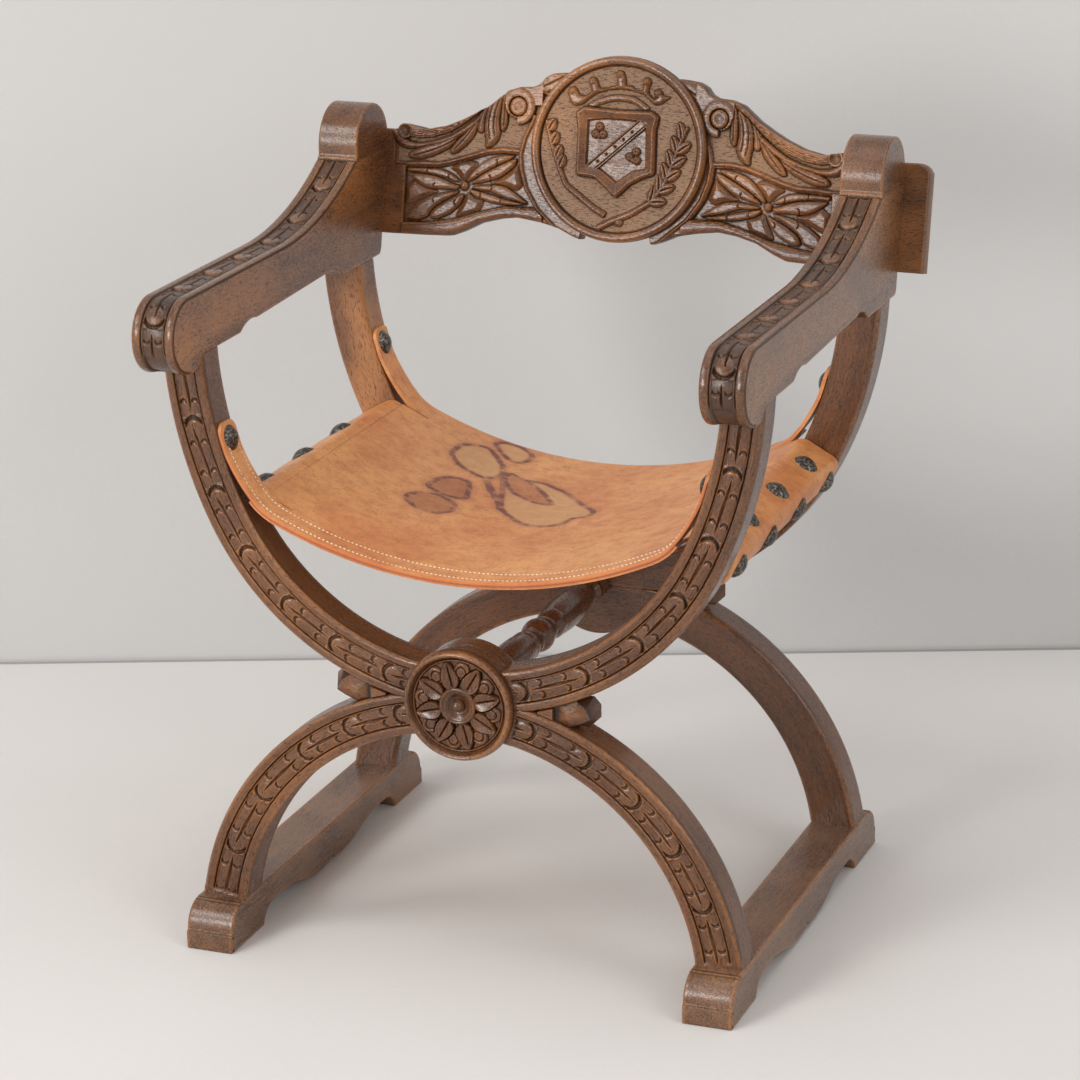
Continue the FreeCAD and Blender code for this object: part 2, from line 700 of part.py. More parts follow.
def rail_nails(side):
    """The nails of one rail as (name, across, up, along, outward angle about Y)."""
    nails = []
    pitch = f"(nail_pitch_share * {RAIL_LENGTH})"
    for index in range(3):
        along = f"{-side * (index - 1)} * {pitch} + {side} * top_nails_shift"
        nails.append((f"top_nail_{index + 1}", "0", WRAP_HALF_DEPTH, along, side * worth("rail_slope")))
    for index in range(4):
        along = f"{index - 1.5} * {pitch}"
        angle = side * (90 + worth("rail_slope"))
        nails.append((f"side_nail_{index + 1}", WRAP_HALF_WIDTH, "0", along, angle))
    return nails


def nail_hole(side, across, up, along, angle):
    """The hole under a nail: it starts outside the leather and ends just past the point."""
    inward = "(nail_length + dowel_ease)"
    if up == "0":
        x, z = rail_place(side, f"{across} - {inward}", "0")
    else:
        x, z = rail_place(side, "0", f"{up} - {inward}")
    return cylinder("nail_shank + dowel_ease", f"{inward} + overrun", x, f"base_shift + {along}", z,
                    Y_AXIS, angle)


def make_rails():
    for side in SIDES:
        for name, kind in ((f"{SIDES[side]}_seat_rail", "wood"), (f"{SIDES[side]}_rail_leather", "wrap")):
            x, z = rail_place(side, "0", "0")
            body = new_body(x, "base_shift", z, Y_AXIS, side * worth("rail_slope"))
            if kind == "wood":
                grow(body, rounded(body, "(rail_width / 2)", "(rail_depth / 2)", "rail_corner"),
                     RAIL_LENGTH, symmetric=True)
                grow(body, ring(body, "XZ_Plane", [("0", "0", "tenon_radius")]),
                     f"{RAIL_LENGTH} + 2 * tenon_length", symmetric=True)
            else:
                grow(body, rounded(body, WRAP_HALF_WIDTH, WRAP_HALF_DEPTH,
                                   "(rail_corner + leather_ease + leather)"),
                     f"{RAIL_LENGTH} - 2 * soft_gap", symmetric=True)
                grow(body, rounded(body, "(rail_width / 2 + leather_ease)", "(rail_depth / 2 + leather_ease)",
                                   "(rail_corner + leather_ease)"),
                     f"{RAIL_LENGTH} + overrun", "Pocket", symmetric=True)
            holes = [nail_hole(side, *nail[1:]) for nail in rail_nails(side)]
            node(cut(body, holes), name)


def nail(name, x, y, z, angle):
    """A domed head on a round shank. Its own axis is Z, with the head's underside at its origin."""
    body = new_body(x, y, z, Y_AXIS, angle)
    dome = "((nail_radius ^ 2 + nail_rise ^ 2) / (2 * nail_rise))"
    sketch = outline(body, "XZ_Plane", ("0", "-nail_length"), [
        ("nail_shank", "-nail_length"),
        ("nail_shank", "0"),
        ("nail_radius", "0"),
        ("0", "nail_rise", dome, -1),
        ("0", "-nail_length"),
    ])
    feature = body.newObject("PartDesign::Revolution", "Revolution")
    feature.Profile = sketch
    feature.ReferenceAxis = (sketch, ["V_Axis"])
    feature.Angle = 360
    node(body, name)


def make_nails():
    for side in SIDES:
        for name, across, up, along, angle in rail_nails(side):
            x, z = rail_place(side, across, up)
            nail(f"{SIDES[side]}_{name}", x, f"base_shift + {along}", z, angle)
        for end in ENDS:
            nail(f"{SIDES[side]}_{ENDS[end]}_tab_nail",
                 signed(side, upper_leg_x(TAB_NAIL_Z, TAB_FACE)), TAB_NAIL_Y[end],
                 TAB_NAIL_Z, signed(side, f"({TAB_NAIL_TILT} - 90 deg)"))


SLING_RADIUS = f"(({SLING_X} ^ 2 + sling_sag ^ 2) / (2 * sling_sag))"
TAB_TURN = f"(tab_turn_share * {SLING_X})"


def sling_spot(share_x, depth="0"):
    """A spot of the sagging sheet this far out, and this deep under its upper face."""
    grown = f"(({SLING_RADIUS} + {depth}) / {SLING_RADIUS})"
    drop = f"sqrt({SLING_RADIUS} ^ 2 - ({share_x}) ^ 2)"
    return f"({share_x}) * {grown}", f"({CREST_Z} - sling_sag + {SLING_RADIUS} - {drop} * {grown})"


def sheet_outline(body, half_width):
    steps = [
        (*sling_spot(half_width), SLING_RADIUS, -1),
        sling_spot(half_width, "leather"),
        (*sling_spot(f"-{half_width}", "leather"), f"{SLING_RADIUS} + leather", 1),
        sling_spot(f"-{half_width}"),
    ]
    return outline(body, "XZ_Plane", steps[-1], steps)


def strip_outline(body, offset):
    """The end strip of the sheet, whose ends turn up against the legs as tabs."""
    inner = f"-{HALF_WIDTH} - soft_gap - leather"
    bend = sling_spot(TAB_TURN)
    under = sling_spot(TAB_TURN, "leather")
    root_z, touch_z = f"({CREST_Z} - tab_root_drop)", f"({CREST_Z} + tab_touch_rise)"
    root = (f"({upper_leg_x(root_z, inner)} - tab_standoff)", root_z)
    touch = (upper_leg_x(touch_z, inner), touch_z)
    top = (upper_leg_x(TAB_TOP, inner), TAB_TOP)
    faces = [
        (*bend, SLING_RADIUS), (*root, "tab_standoff * tab_curve_share"), (*touch, TAB_TURN),
        (*top, f"flare_radius + {inner}"),
    ]
    backs = [
        (f"{top[0]} + leather", top[1]),
        (f"{touch[0]} + leather", touch[1], f"flare_radius + {inner} + leather"),
        (f"{root[0]} + leather", root[1], f"{TAB_TURN} + leather"),
        (*under, "tab_standoff * tab_curve_share + leather"),
    ]
    steps = [(*step, -1) for step in faces] + [backs[0]] + [(*step, 1) for step in backs[1:]]
    steps.append((f"-({under[0]})", under[1], f"{SLING_RADIUS} + leather", 1))
    steps += [(f"-({backs[index - 1][0]})", backs[index - 1][1], backs[index][2], 1) for index in (3, 2, 1)]
    steps.append((f"-({top[0]})", top[1]))
    steps += [(f"-({faces[index - 1][0]})", faces[index - 1][1], faces[index][2], -1) for index in (3, 2, 1)]
    return outline(body, "XZ_Plane", (f"-({bend[0]})", bend[1]), steps, offset)


def make_sling():
    """The hanging seat: a sagging sheet between the rails, and end strips that turn up into tabs."""
    body = new_body(y="base_shift")
    inside = "(leg_pitch / 2 - leg_depth / 2 - soft_gap)"
    depth = "(leg_pitch + leg_depth - 2 * sling_inset)"
    grow(body, sheet_outline(body, f"({SLING_X} + 2 * leather)"), f"2 * {inside}", symmetric=True)
    grow(body, sheet_outline(body, TAB_TURN), depth, symmetric=True)
    for end in ENDS:
        start = f"{depth} / 2 - {TAB_WIDTH}" if end == FRONT else f"-{depth} / 2"
        grow(body, strip_outline(body, start), TAB_WIDTH)
    tools = [rail_clearance(side) for side in SIDES]
    tools += [tab_nail_hole(end, side) for side in SIDES for end in ENDS]
    node(cut(body, tools), "seat_leather")


def rail_clearance(side):
    """The room that the sheet leaves for a wrapped rail."""
    gap = "soft_gap"
    width = f"2 * ({WRAP_HALF_WIDTH} + {gap})"
    x, z = rail_place(side, f"{side} * -({WRAP_HALF_WIDTH} + {gap})", f"-{WRAP_HALF_DEPTH} - {gap}")
    return block(width, RAIL_LENGTH, f"2 * {WRAP_HALF_DEPTH} + 6 * leather", x,
                 f"base_shift - {RAIL_LENGTH} / 2", z, Y_AXIS, side * worth("rail_slope"))


# Outline of the board's right half, as shares of its half width and of its height at the ends,
# with the radius and the side of each curve.
BOARD_TOP_SHARES = (
    (0.763, 1.017), (0.696, 1.034, "board_curl_radius", -1), (0.443, 1.299, "board_sweep_radius", 1),
    (0.301, 1.479, "board_scroll_radius", -1), (0.279, 1.513), (0.173, 1.65, "board_leaf_radius", -1),
)
BOARD_FOOT_SHARES = ((0.12, 0.085), (0.462, 0.162, "board_arch_radius", 1), (0.557, 0.021), (0.599, 0.0))
PANEL_SHARES = (
    (0.718, 0.667), (0.646, 0.667), (0.574, 0.709), (0.496, 0.761), (0.409, 0.846), (0.334, 0.863),
    (0.329, 0.564), (0.276, 0.342), (0.357, 0.35), (0.443, 0.291), (0.571, 0.197), (0.66, 0.137),
    (0.718, 0.111),
)


BOARD_HALF_WIDTH = f"({ARM_X} + arm_width / 2 + board_overhang)"


def board_point(side, share_x, share_z, *curve):
    return (signed(side, f"{share_x} * {BOARD_HALF_WIDTH}"),
            f"(-board_below + {share_z} * (board_above + board_below))", *curve)


def board_body():
    """A body on the board's leaning front plane, with its own Z up the plane from the posts' rest line."""
    return new_body(y=f"base_shift + {REST_Y} + board_gap / cos(lean)", z=REST_Z, axis=X_AXIS, angle="-lean")


def make_board():
    """Carved board: winged outline, sunk panels and, at the back of its face, the peg grooves."""
    body = board_body()
    top = [board_point(RIGHT, *share) for share in BOARD_TOP_SHARES]
    foot = [board_point(RIGHT, *share) for share in BOARD_FOOT_SHARES]
    right = [
        *foot,
        (BOARD_HALF_WIDTH, "-board_below"),
        (BOARD_HALF_WIDTH, "board_above - board_corner"),
        (f"{BOARD_HALF_WIDTH} - board_corner", "board_above", "board_corner", -1),
        *top,
    ]
    left = [(f"-({x})", z, *rest) for x, z, *rest in right]
    back = []
    for index in range(len(left) - 1, -1, -1):
        x, z = left[index][:2]
        arc = left[index + 1][2:] if index + 1 < len(left) else ()
        back.append((x, z, *arc))
    start = back[-1][:2]
    sketch = outline(body, "XZ_Plane", start, right + back)
    grow(body, sketch, "board_thickness", reverse=True)
    for side in SIDES:
        panel = [board_point(side, *share) for share in PANEL_SHARES]
        sunk = outline(body, "XZ_Plane", panel[0], panel[1:] + panel[:1])
        grow(body, sunk, "panel_depth", "Pocket")
    for side in SIDES:
        cut_grooves(body, side)
    node(body, "back_board")


PEG_X = {LEFT: f"-({ARM_X}) - left_peg_offset", RIGHT: f"{ARM_X} + right_peg_offset"}


def cut_grooves(body, side):
    """A T groove that lets the board rise off its peg. On the right it opens at the top as well,
    where the folding arm carries its peg up and inward."""
    neck, head = "(peg_radius + groove_ease)", "(peg_head_radius + groove_ease)"
    floor = "(groove_lip + groove_play + peg_head_depth + groove_ease)"
    low = "(-board_below - overrun)"
    x = PEG_X[side]
    stop = f"(peg_lift + {neck})" if side == LEFT else "peg_lift"
    neck_groove = outline(body, "XZ_Plane", (f"{x} - {neck}", low), [
        (f"{x} + {neck}", low), (f"{x} + {neck}", stop), (f"{x} - {neck}", stop), (f"{x} - {neck}", low)])
    grow(body, neck_groove, floor, "Pocket")
    high = f"(peg_lift + {head})"
    head_groove = outline(body, "XZ_Plane", (f"{x} - {head}", low), [
        (f"{x} + {head}", low), (f"{x} + {head}", high), (f"{x} - {head}", high), (f"{x} - {head}", low)],
        "-groove_lip")
    grow(body, head_groove, f"{floor} - groove_lip", "Pocket")
    if side == RIGHT:
        top = "(board_above + overrun)"
        slope = f"(({top} - peg_lift + {head}) * mouth_slope_share)"
        mouth = outline(body, "XZ_Plane", (f"{x} - {head}", "peg_lift - groove_ease"), [
            (f"{x} + {head}", "peg_lift - groove_ease"), (f"{x} + {head}", top),
            (f"{x} - {head} - {slope}", top), (f"{x} - {head}", "peg_lift - groove_ease")])
        grow(body, mouth, floor, "Pocket")


def peg_part(side, radius, start, length):
    """A round length of the peg, measured along its axis back from the posts' leaning rear faces."""
    y = f"base_shift + {REST_Y} + peg_lift * sin(lean) + ({start}) * cos(lean)"
    z = f"{REST_Z} + peg_lift * cos(lean) - ({start}) * sin(lean)"
    return cylinder(radius, length, PEG_X[side], y, z, X_AXIS, -90 - worth("lean"))


def make_pegs():
    for side in SIDES:
        reach = "board_gap + groove_lip + groove_play"
        neck = peg_part(side, "peg_radius", "-peg_length", f"peg_length + {reach}")
        head = peg_part(side, "peg_head_radius", reach, "peg_head_depth")
        made = doc.addObject("Part::Fuse", "Peg")
        made.Base = neck
        made.Tool = head
        node(made, f"{SIDES[side]}_back_peg")


def make_medallion():
    """Round shield in front of the board's middle, with a raised rim."""
    body = board_body()
    grow(body, ring(body, "XZ_Plane", [("0", "medallion_lift", "medallion_radius")]), "medallion_rise")
    sunk = ring(body, "XZ_Plane", [("0", "medallion_lift", "medallion_radius - medallion_rim")],
                "medallion_rise - medallion_sink")
    grow(body, sunk, "medallion_sink + overrun", "Pocket", reverse=True)
    node(body, "medallion")


def check_and_export():
    """Every object must have come out whole, and each sub-part valid, before a file is written."""
    doc.recompute()
    broken = [thing for thing in doc.Objects if "Invalid" in thing.State or "Error" in thing.State]
    if broken:
        raise RuntimeError("did not compute: " + ", ".join(f"{thing.Name} {thing.Label}" for thing in broken))
    for made in NODES:
        shape = made.Shape
        if shape.isNull() or not shape.isValid() or len(shape.Solids) != 1:
            raise RuntimeError(f"{made.Label} is not one valid solid")
    os.makedirs("parts", exist_ok=True)
    for made in NODES:
        made.Shape.exportStep(f"parts/{made.Label}.step")
        print(made.Label, round(made.Shape.Volume / 1000, 1), "cm3")


make_legs()
make_wedges()
make_pivot_rod()
make_hub_faces()
make_runners()
make_arms()
make_dowels()
make_rails()
make_nails()
make_sling()
make_board()
make_pegs()
make_medallion()
check_and_export()
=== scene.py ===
"""A folding X-frame armchair of carved wood with a leather sling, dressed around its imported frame."""

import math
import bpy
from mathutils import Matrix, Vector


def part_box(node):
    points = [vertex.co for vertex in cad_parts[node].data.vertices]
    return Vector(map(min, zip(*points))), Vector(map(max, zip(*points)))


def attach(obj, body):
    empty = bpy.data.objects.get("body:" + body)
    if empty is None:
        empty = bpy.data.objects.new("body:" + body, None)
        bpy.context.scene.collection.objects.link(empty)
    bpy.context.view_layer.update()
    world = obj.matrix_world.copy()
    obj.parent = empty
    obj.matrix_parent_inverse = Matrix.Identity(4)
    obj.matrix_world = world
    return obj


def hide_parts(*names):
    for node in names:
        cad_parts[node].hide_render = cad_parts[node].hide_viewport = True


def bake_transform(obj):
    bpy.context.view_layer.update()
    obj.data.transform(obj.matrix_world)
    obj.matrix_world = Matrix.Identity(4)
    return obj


bl_info = {
    "name": "Folding X-Frame Chair",
    "version": (1, 0, 0),
    "blender": (4, 5, 0),
    "location": "View3D > Sidebar > Chair",
    "description": "Builds the carved wood, leather and iron of a folding armchair around its frame",
    "category": "Add Mesh",
}

from types import SimpleNamespace

import bpy
import numpy as np
from bpy.props import FloatProperty, FloatVectorProperty, PointerProperty
from mathutils import Matrix, Vector
from mathutils.geometry import tessellate_polygon

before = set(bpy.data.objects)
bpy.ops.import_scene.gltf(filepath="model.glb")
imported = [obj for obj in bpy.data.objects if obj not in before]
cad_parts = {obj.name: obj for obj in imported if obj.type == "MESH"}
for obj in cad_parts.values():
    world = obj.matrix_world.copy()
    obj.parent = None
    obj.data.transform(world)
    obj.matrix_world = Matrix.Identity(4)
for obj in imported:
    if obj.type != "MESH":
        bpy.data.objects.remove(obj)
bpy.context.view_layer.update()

MM = 0.001
SIDES = {"left": -1, "right": 1}
ENDS = {"front": -1, "rear": 1}
FRAME_OF_SIDE = {"left": "frame_a", "right": "frame_b"}
FRAME_OF_FOOT = {"left": "frame_b", "right": "frame_a"}


def node_box(name):
    """Lowest and highest corner of a CAD node, in millimetres."""
    low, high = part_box(name)
    return np.array(low) / MM, np.array(high) / MM


def middle(name, axis):
    low, high = node_box(name)
    return float(low[axis] + high[axis]) / 2


# Where the frame stands: everything below is drawn from the middle of the runners, in millimetres.
BASE_Y = middle("left_foot_runner", 1)
HUB_Z = middle("front_rosette", 2)
ARM_X = middle("right_arm", 0)
FOOT_X = middle("right_foot_runner", 0)
LEG_PITCH = 410
LEG_DEPTH = 42
LEG_HALF = 23
LEG_FRONT = (LEG_PITCH + LEG_DEPTH) / 2
HUB_RADIUS = 59
ROSETTE_RADIUS = 61.3
ROSETTE_TURN = math.radians(15)
UPPER_CENTRE = 612.5
UPPER_RADIUS = 291.5
UPPER_TURN = math.radians(64.2)
FLARE_RADIUS = 458
FLARE_X = (UPPER_RADIUS - FLARE_RADIUS) * math.sin(UPPER_TURN)
FLARE_Z = UPPER_CENTRE + (FLARE_RADIUS - UPPER_RADIUS) * math.cos(UPPER_TURN)
LOWER_CENTRE = 12
LOWER_RADIUS = 283
FOOT_FLARE = 7
ARM_HALF = 24
ARM_UNDERSIDE = 660
RUNNER_HALF = 27.5
RUNNER_TOP = 50
LEAN = math.radians(12.5)
REST_Y, REST_Z = 272.93, 784.26
CARVING_SHIFT = -5.1
HALVING_GAP = 0.2
# Distances from the hub of the crescent cuts on each front leg.
CRESCENTS = {
    (True, 1): (149, 221, 290.5, 362, 441), (True, -1): (156, 222, 291, 362, 440),
    (False, 1): (150, 216, 281, 348), (False, -1): (141, 204, 279, 354),
}


# Settings


def length(name, description, millimetres):
    return FloatProperty(name=name, description=description, default=millimetres * MM,
                         min=0, unit="LENGTH", precision=4)


def colour(name, description, red, green, blue):
    return FloatVectorProperty(name=name, description=description, default=(red, green, blue),
                               size=3, min=0, max=1, subtype="COLOR")


class CHAIR_PG_carving(bpy.types.PropertyGroup):
    """Sizes of the carver's work on the wood"""

    edge_round: length("Edge round", "Radius of the worn edges of legs, arms and feet", 4)
    band_width: length("Edge band", "Width of the smooth band along each edge of a carved leg", 9.5)
    groove_width: length("Groove width", "Width of the cut beside each band", 2.6)
    groove_depth: length("Groove depth", "Depth of the cut beside each band", 3.2)
    tongue_pitch: length("Tongue pitch", "Length of one repeat of the arm carving", 71.9)
    tongue_start: length("Tongue start", "Distance of the first crescent from the notch of the arm", 62)
    crescent_depth: length("Crescent depth", "Depth of the crescent cuts", 4.2)
    thumb_depth: length("Thumbnail depth", "Depth of the small thumbnail cuts", 2.2)
    slit_depth: length("Slit depth", "Depth of the slit along each tongue", 2.8)
    petal_relief: length("Petal relief", "Height of the rosette's petals over their ground", 4.5)
    leaf_relief: length("Leaf relief", "Height of the leaves on the back board", 7)
    ground_depth: length("Ground depth", "Depth of the punched ground of the sunk panels", 4)


class CHAIR_PG_leather(bpy.types.PropertyGroup):
    """Sizes of the sling, its seams and its nails"""

    thickness: length("Thickness", "Thickness of the hide", 4)
    binding: length("Binding", "Thickness of the strip sewn under each edge", 3)
    stitch_length: length("Stitch length", "Length of one stitch", 4)
    stitch_pitch: length("Stitch pitch", "Distance from one stitch to the next", 5.2)
    thread: length("Thread", "Thickness of the sewing thread", 1.5)
    nail_radius: length("Nail radius", "Radius of the dome nails", 14)
    nail_rise: length("Nail rise", "Height of the dome nails", 7)


class CHAIR_PG_finish(bpy.types.PropertyGroup):
    """Colours of the finishes"""

    wood: colour("Wood", "Middle tone of the stained wood", 0.135, 0.047, 0.014)
    # Painted shade: this dark tone goes into the carved recesses, for their shade and their stain, and into
    # the pores.
    wood_dark: colour("Dark wood", "Stain left in the carved recesses", 0.014, 0.006, 0.003)
    wood_worn: colour("Worn wood", "Golden tone of rubbed edges", 0.42, 0.17, 0.05)
    wood_dusty: colour("Dusty wood", "Greyed tone of the feet and the punched ground", 0.33, 0.205, 0.125)
    hide: colour("Hide", "Tan of the seat", 0.6, 0.215, 0.062)
    hide_light: colour("Light hide", "Paler, stretched places of the hide", 0.72, 0.325, 0.11)
    # Painted shade: this stain tone also darkens the hide's edges where they lie on their binding.
    hide_stain: colour("Hide stain", "Purple-brown tide marks on the seat", 0.13, 0.026, 0.02)
    thread: colour("Thread", "Waxed sewing thread", 0.86, 0.75, 0.58)
    iron: colour("Nail iron", "Blackened iron of the nails", 0.055, 0.048, 0.042)
    steel: colour("Peg steel", "Steel of the pegs behind the posts", 0.35, 0.34, 0.32)
    wall: colour("Wall", "Backdrop", 0.585, 0.576, 0.569)
    floor: colour("Floor", "Ground", 0.72, 0.697, 0.675)


def in_millimetres(group):
    """The lengths of a settings group as plain numbers in millimetres."""
    names = group.bl_rna.properties.keys()
    return SimpleNamespace(**{name: getattr(group, name) / MM for name in names
                              if isinstance(getattr(group, name), float)})


# Curves


def arc(start, end, radius, side, count):
    """Points after start up to end on an arc that bulges left (1) or right (-1) of the way there."""
    start, end = np.array(start, float), np.array(end, float)
    chord = end - start
    half = np.hypot(*chord) / 2
    left = np.array([-chord[1], chord[0]]) / (2 * half)
    centre = (start + end) / 2 - side * left * math.sqrt(max(radius ** 2 - half ** 2, 0))
    first = math.atan2(*(start - centre)[::-1])
    last = math.atan2(*(end - centre)[::-1])
    turn = (last - first + math.pi) % (2 * math.pi) - math.pi
    angles = first + turn * np.linspace(0, 1, count + 1)[1:]
    return [centre + radius * np.array([math.cos(a), math.sin(a)]) for a in angles]


def path(start, steps, count=24):
    """A line of straight and curved steps: (x, y) or (x, y, radius, side)."""
    points = [np.array(start, float)]
    for x, y, *curve in steps:
        if curve:
            points += arc(points[-1], (x, y), curve[0], curve[1], count)
        else:
            points.append(np.array([x, y], float))
    return np.array(points)


def spaced(points, spacing, closed=False):
    """The same line with points at an even spacing."""
    if closed:
        points = np.vstack([points, points[:1]])
    steps = np.hypot(*np.diff(points, axis=0).T)
    far = np.concatenate([[0], np.cumsum(steps)])
    count = max(int(round(far[-1] / spacing)), 2)
    at = np.linspace(0, far[-1], count + 1)
    line = np.stack([np.interp(at, far, points[:, k]) for k in range(points.shape[1])], 1)
    return line[:-1] if closed else line


def softened(points, times):
    """A closed line with its corners rounded a little."""
    for _ in range(times):
        points = (np.roll(points, 1, 0) + 2 * points + np.roll(points, -1, 0)) / 4
    return points


def outward(points):
    """Normals of a closed line, pointing out of it, long enough at corners to keep an even inset."""
    before = points - np.roll(points, 1, 0)
    after = np.roll(points, -1, 0) - points
    normals = []
    for step in (before, after):
        size = np.maximum(np.hypot(*step.T), 1e-9)[:, None]
        normals.append(np.stack([step[:, 1], -step[:, 0]], 1) / size)
    total = normals[0] + normals[1]
    total /= np.maximum((total ** 2).sum(1), 1)[:, None] / 2
    area = (points[:, 0] * np.roll(points[:, 1], -1) - np.roll(points[:, 0], -1) * points[:, 1]).sum()
    return total if area > 0 else -total


def limited(value):
    """The same value, kept between 0 and 1."""
    return np.clip(value, 0, 1)


def smooth_step(low, high, value):
    t = limited((value - low) / (high - low))
    return t * t * (3 - 2 * t)


def bump(centre, half_width, value):
    """A soft hill of height 1 over centre."""
    t = limited(np.abs(value - centre) / half_width)
    return (1 - t * t) ** 2


# Meshes


class Shape:
    """Points in millimetres and faces, gathered solid by solid into one piece."""

    def __init__(self):
        self.points, self.faces, self.marks = [], [], []
        self.count = 0
        self.solid_start = 0

    def add(self, points, worn=0, carved=0, punched=0, tide=0, grain=(0, 1, 2)):
        """Adds a block of points and gives back their numbers in the same layout."""
        points = np.asarray(points, float)
        layout = points.shape[:-1]
        flat = points.reshape(-1, 3)
        if isinstance(grain, tuple):
            grain = points[..., list(grain)]
        marks = np.zeros((len(flat), 7))
        for column, mark in enumerate((worn, carved, punched, tide)):
            marks[:, column] = np.broadcast_to(mark, layout).ravel()
        marks[:, 4:] = np.asarray(grain).reshape(-1, 3)
        numbers = self.count + np.arange(len(flat)).reshape(layout)
        self.points.append(flat)
        self.marks.append(marks)
        self.count += len(flat)
        return numbers

    def skin(self, numbers, around=False, along=False):
        """Quads over a block of point numbers, closed around its columns or along its rows."""
        if around:
            numbers = np.hstack([numbers, numbers[:, :1]])
        if along:
            numbers = np.vstack([numbers, numbers[:1]])
        a, b = numbers[:-1, :-1].ravel(), numbers[1:, :-1].ravel()
        c, d = numbers[1:, 1:].ravel(), numbers[:-1, 1:].ravel()
        self.faces.append(np.stack([a, b, c, d], 1))

    def cap(self, numbers):
        """Triangles over the open end of a solid.

        An outline with very fine notches can fill only in part one way round, so the fuller way is kept.
        """
        every = np.concatenate(self.points)
        numbers = np.asarray(numbers)
        points = every[numbers]
        ways = []
        for ring in (numbers, numbers[::-1]):
            corners = tessellate_polygon([[Vector(point) for point in every[ring]]])
            ways.append(ring[np.array(corners)])
        faces = max(ways, key=len)
        a, b, c = (every[faces[:, k]] for k in range(3))
        drawn = np.cross(b - a, c - a).sum(0)
        spin = np.cross(points - points.mean(0), np.roll(points, -1, 0) - points.mean(0)).sum(0)
        self.faces.append(faces if drawn @ spin > 0 else faces[:, ::-1])

    def tube(self, points, **marks):
        """A closed solid from rings of points: rows along it, columns around it."""
        numbers = self.add(points, **marks)
        self.skin(numbers, around=True)
        self.cap(numbers[0])
        self.cap(numbers[-1][::-1])
        self.close()

    def close(self):
        """Ends a solid, turning its faces outward."""
        points = np.concatenate(self.points)
        volume = 0
        for faces in self.faces[self.solid_start:]:
            corner = points[faces]
            for k in range(1, faces.shape[1] - 1):
                volume += (corner[:, 0] * np.cross(corner[:, k], corner[:, k + 1])).sum()
        if volume < 0:
            for index in range(self.solid_start, len(self.faces)):
                self.faces[index] = self.faces[index][:, ::-1]
        self.solid_start = len(self.faces)

    def piece(self, name, finish, slot, sharp=50):
        """The piece as an object in metres, standing in the frame."""
        points = np.concatenate(self.points)
        points[:, 1] += BASE_Y
        mesh = bpy.data.meshes.new(name)
        corners = np.concatenate([faces.ravel() for faces in self.faces])
        sizes = np.concatenate([np.full(len(faces), faces.shape[1]) for faces in self.faces])
        mesh.vertices.add(len(points))
        mesh.loops.add(len(corners))
        mesh.polygons.add(len(sizes))
        mesh.vertices.foreach_set("co", (points * MM).astype(np.float32).ravel())
        mesh.loops.foreach_set("vertex_index", corners.astype(np.int32))
        starts = np.concatenate([[0], np.cumsum(sizes)[:-1]])
        mesh.polygons.foreach_set("loop_start", starts.astype(np.int32))
        mesh.update(calc_edges=True)
        mesh.validate()
        # The carved mark is painted shade in the wood's recesses, with the stain there, and under the hide's
        # edges; on the hide it also marks the stain dart.
        marks = np.concatenate(self.marks)
        for column, title in enumerate(("worn", "carved", "punched", "tide")):
            layer = mesh.attributes.new(title, "FLOAT", "POINT")
            layer.data.foreach_set("value", marks[:, column].astype(np.float32))
        layer = mesh.attributes.new("grain", "FLOAT_VECTOR", "POINT")
        layer.data.foreach_set("vector", (marks[:, 4:] * MM).astype(np.float32).ravel())
        mesh.polygons.foreach_set("use_smooth", np.ones(len(sizes), bool))
        mesh.set_sharp_from_angle(angle=math.radians(sharp))
        mesh.materials.append(bpy.data.materials[finish])
        made = bpy.data.objects.new(name, mesh)
        bpy.context.scene.collection.objects.link(made)
        return made


def wooden(shape, name, finish, body, sharp=50):
    """A wooden piece that stands in for the frame's node of that name and rides on a body."""
    made = shape.piece(f"{name}_wood", finish, "carved_wood", sharp=sharp)
    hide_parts(name)
    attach(made, body)


def rounding(radius, count=4):
    """(inset, back from the edge) pairs from a flat end to the full width of a rounded edge."""
    angles = np.linspace(0, math.pi / 2, count + 1)
    return [(radius * (1 - math.sin(a)), radius * (1 - math.cos(a))) for a in angles]


def slab(shape, front, back, grain, **marks):
    """A closed solid between a carved face and a plain back with the same rows and columns."""
    first = shape.add(front, grain=grain, **marks)
    second = shape.add(back, grain=grain)
    shape.skin(first)
    shape.skin(second[:, ::-1])
    rims = [np.concatenate([n[0, :], n[1:, -1], n[-1, -2::-1], n[-2:0:-1, 0]]) for n in (first, second)]
    shape.skin(np.stack(rims), around=True)
    shape.close()


def blurred(grid, times, wrap=False):
    """A grid of heights smoothed by a few passes over its neighbours."""
    for _ in range(times):
        side = np.pad(grid, 1, mode="edge")
        if wrap:
            side[1:-1, 0], side[1:-1, -1] = grid[:, -1], grid[:, 0]
        grid = (side[:-2, 1:-1] + side[2:, 1:-1] + side[1:-1, :-2] + side[1:-1, 2:] + 4 * grid) / 8
    return grid


def hollows(height, reach, wrap=False):
    """(share of painted shade, how proud) for each point of a carved face, from how sunk or raised it is
    against what is around it, 0 to 1.
    """
    gap = blurred(height, 26, wrap) - height
    fine = blurred(height, 5, wrap) - height
    recess_shade = limited(gap / (2.4 * reach)) * 0.5 + limited(fine / (0.55 * reach)) * 0.75
    return limited(recess_shade), limited(-fine / (0.45 * reach))


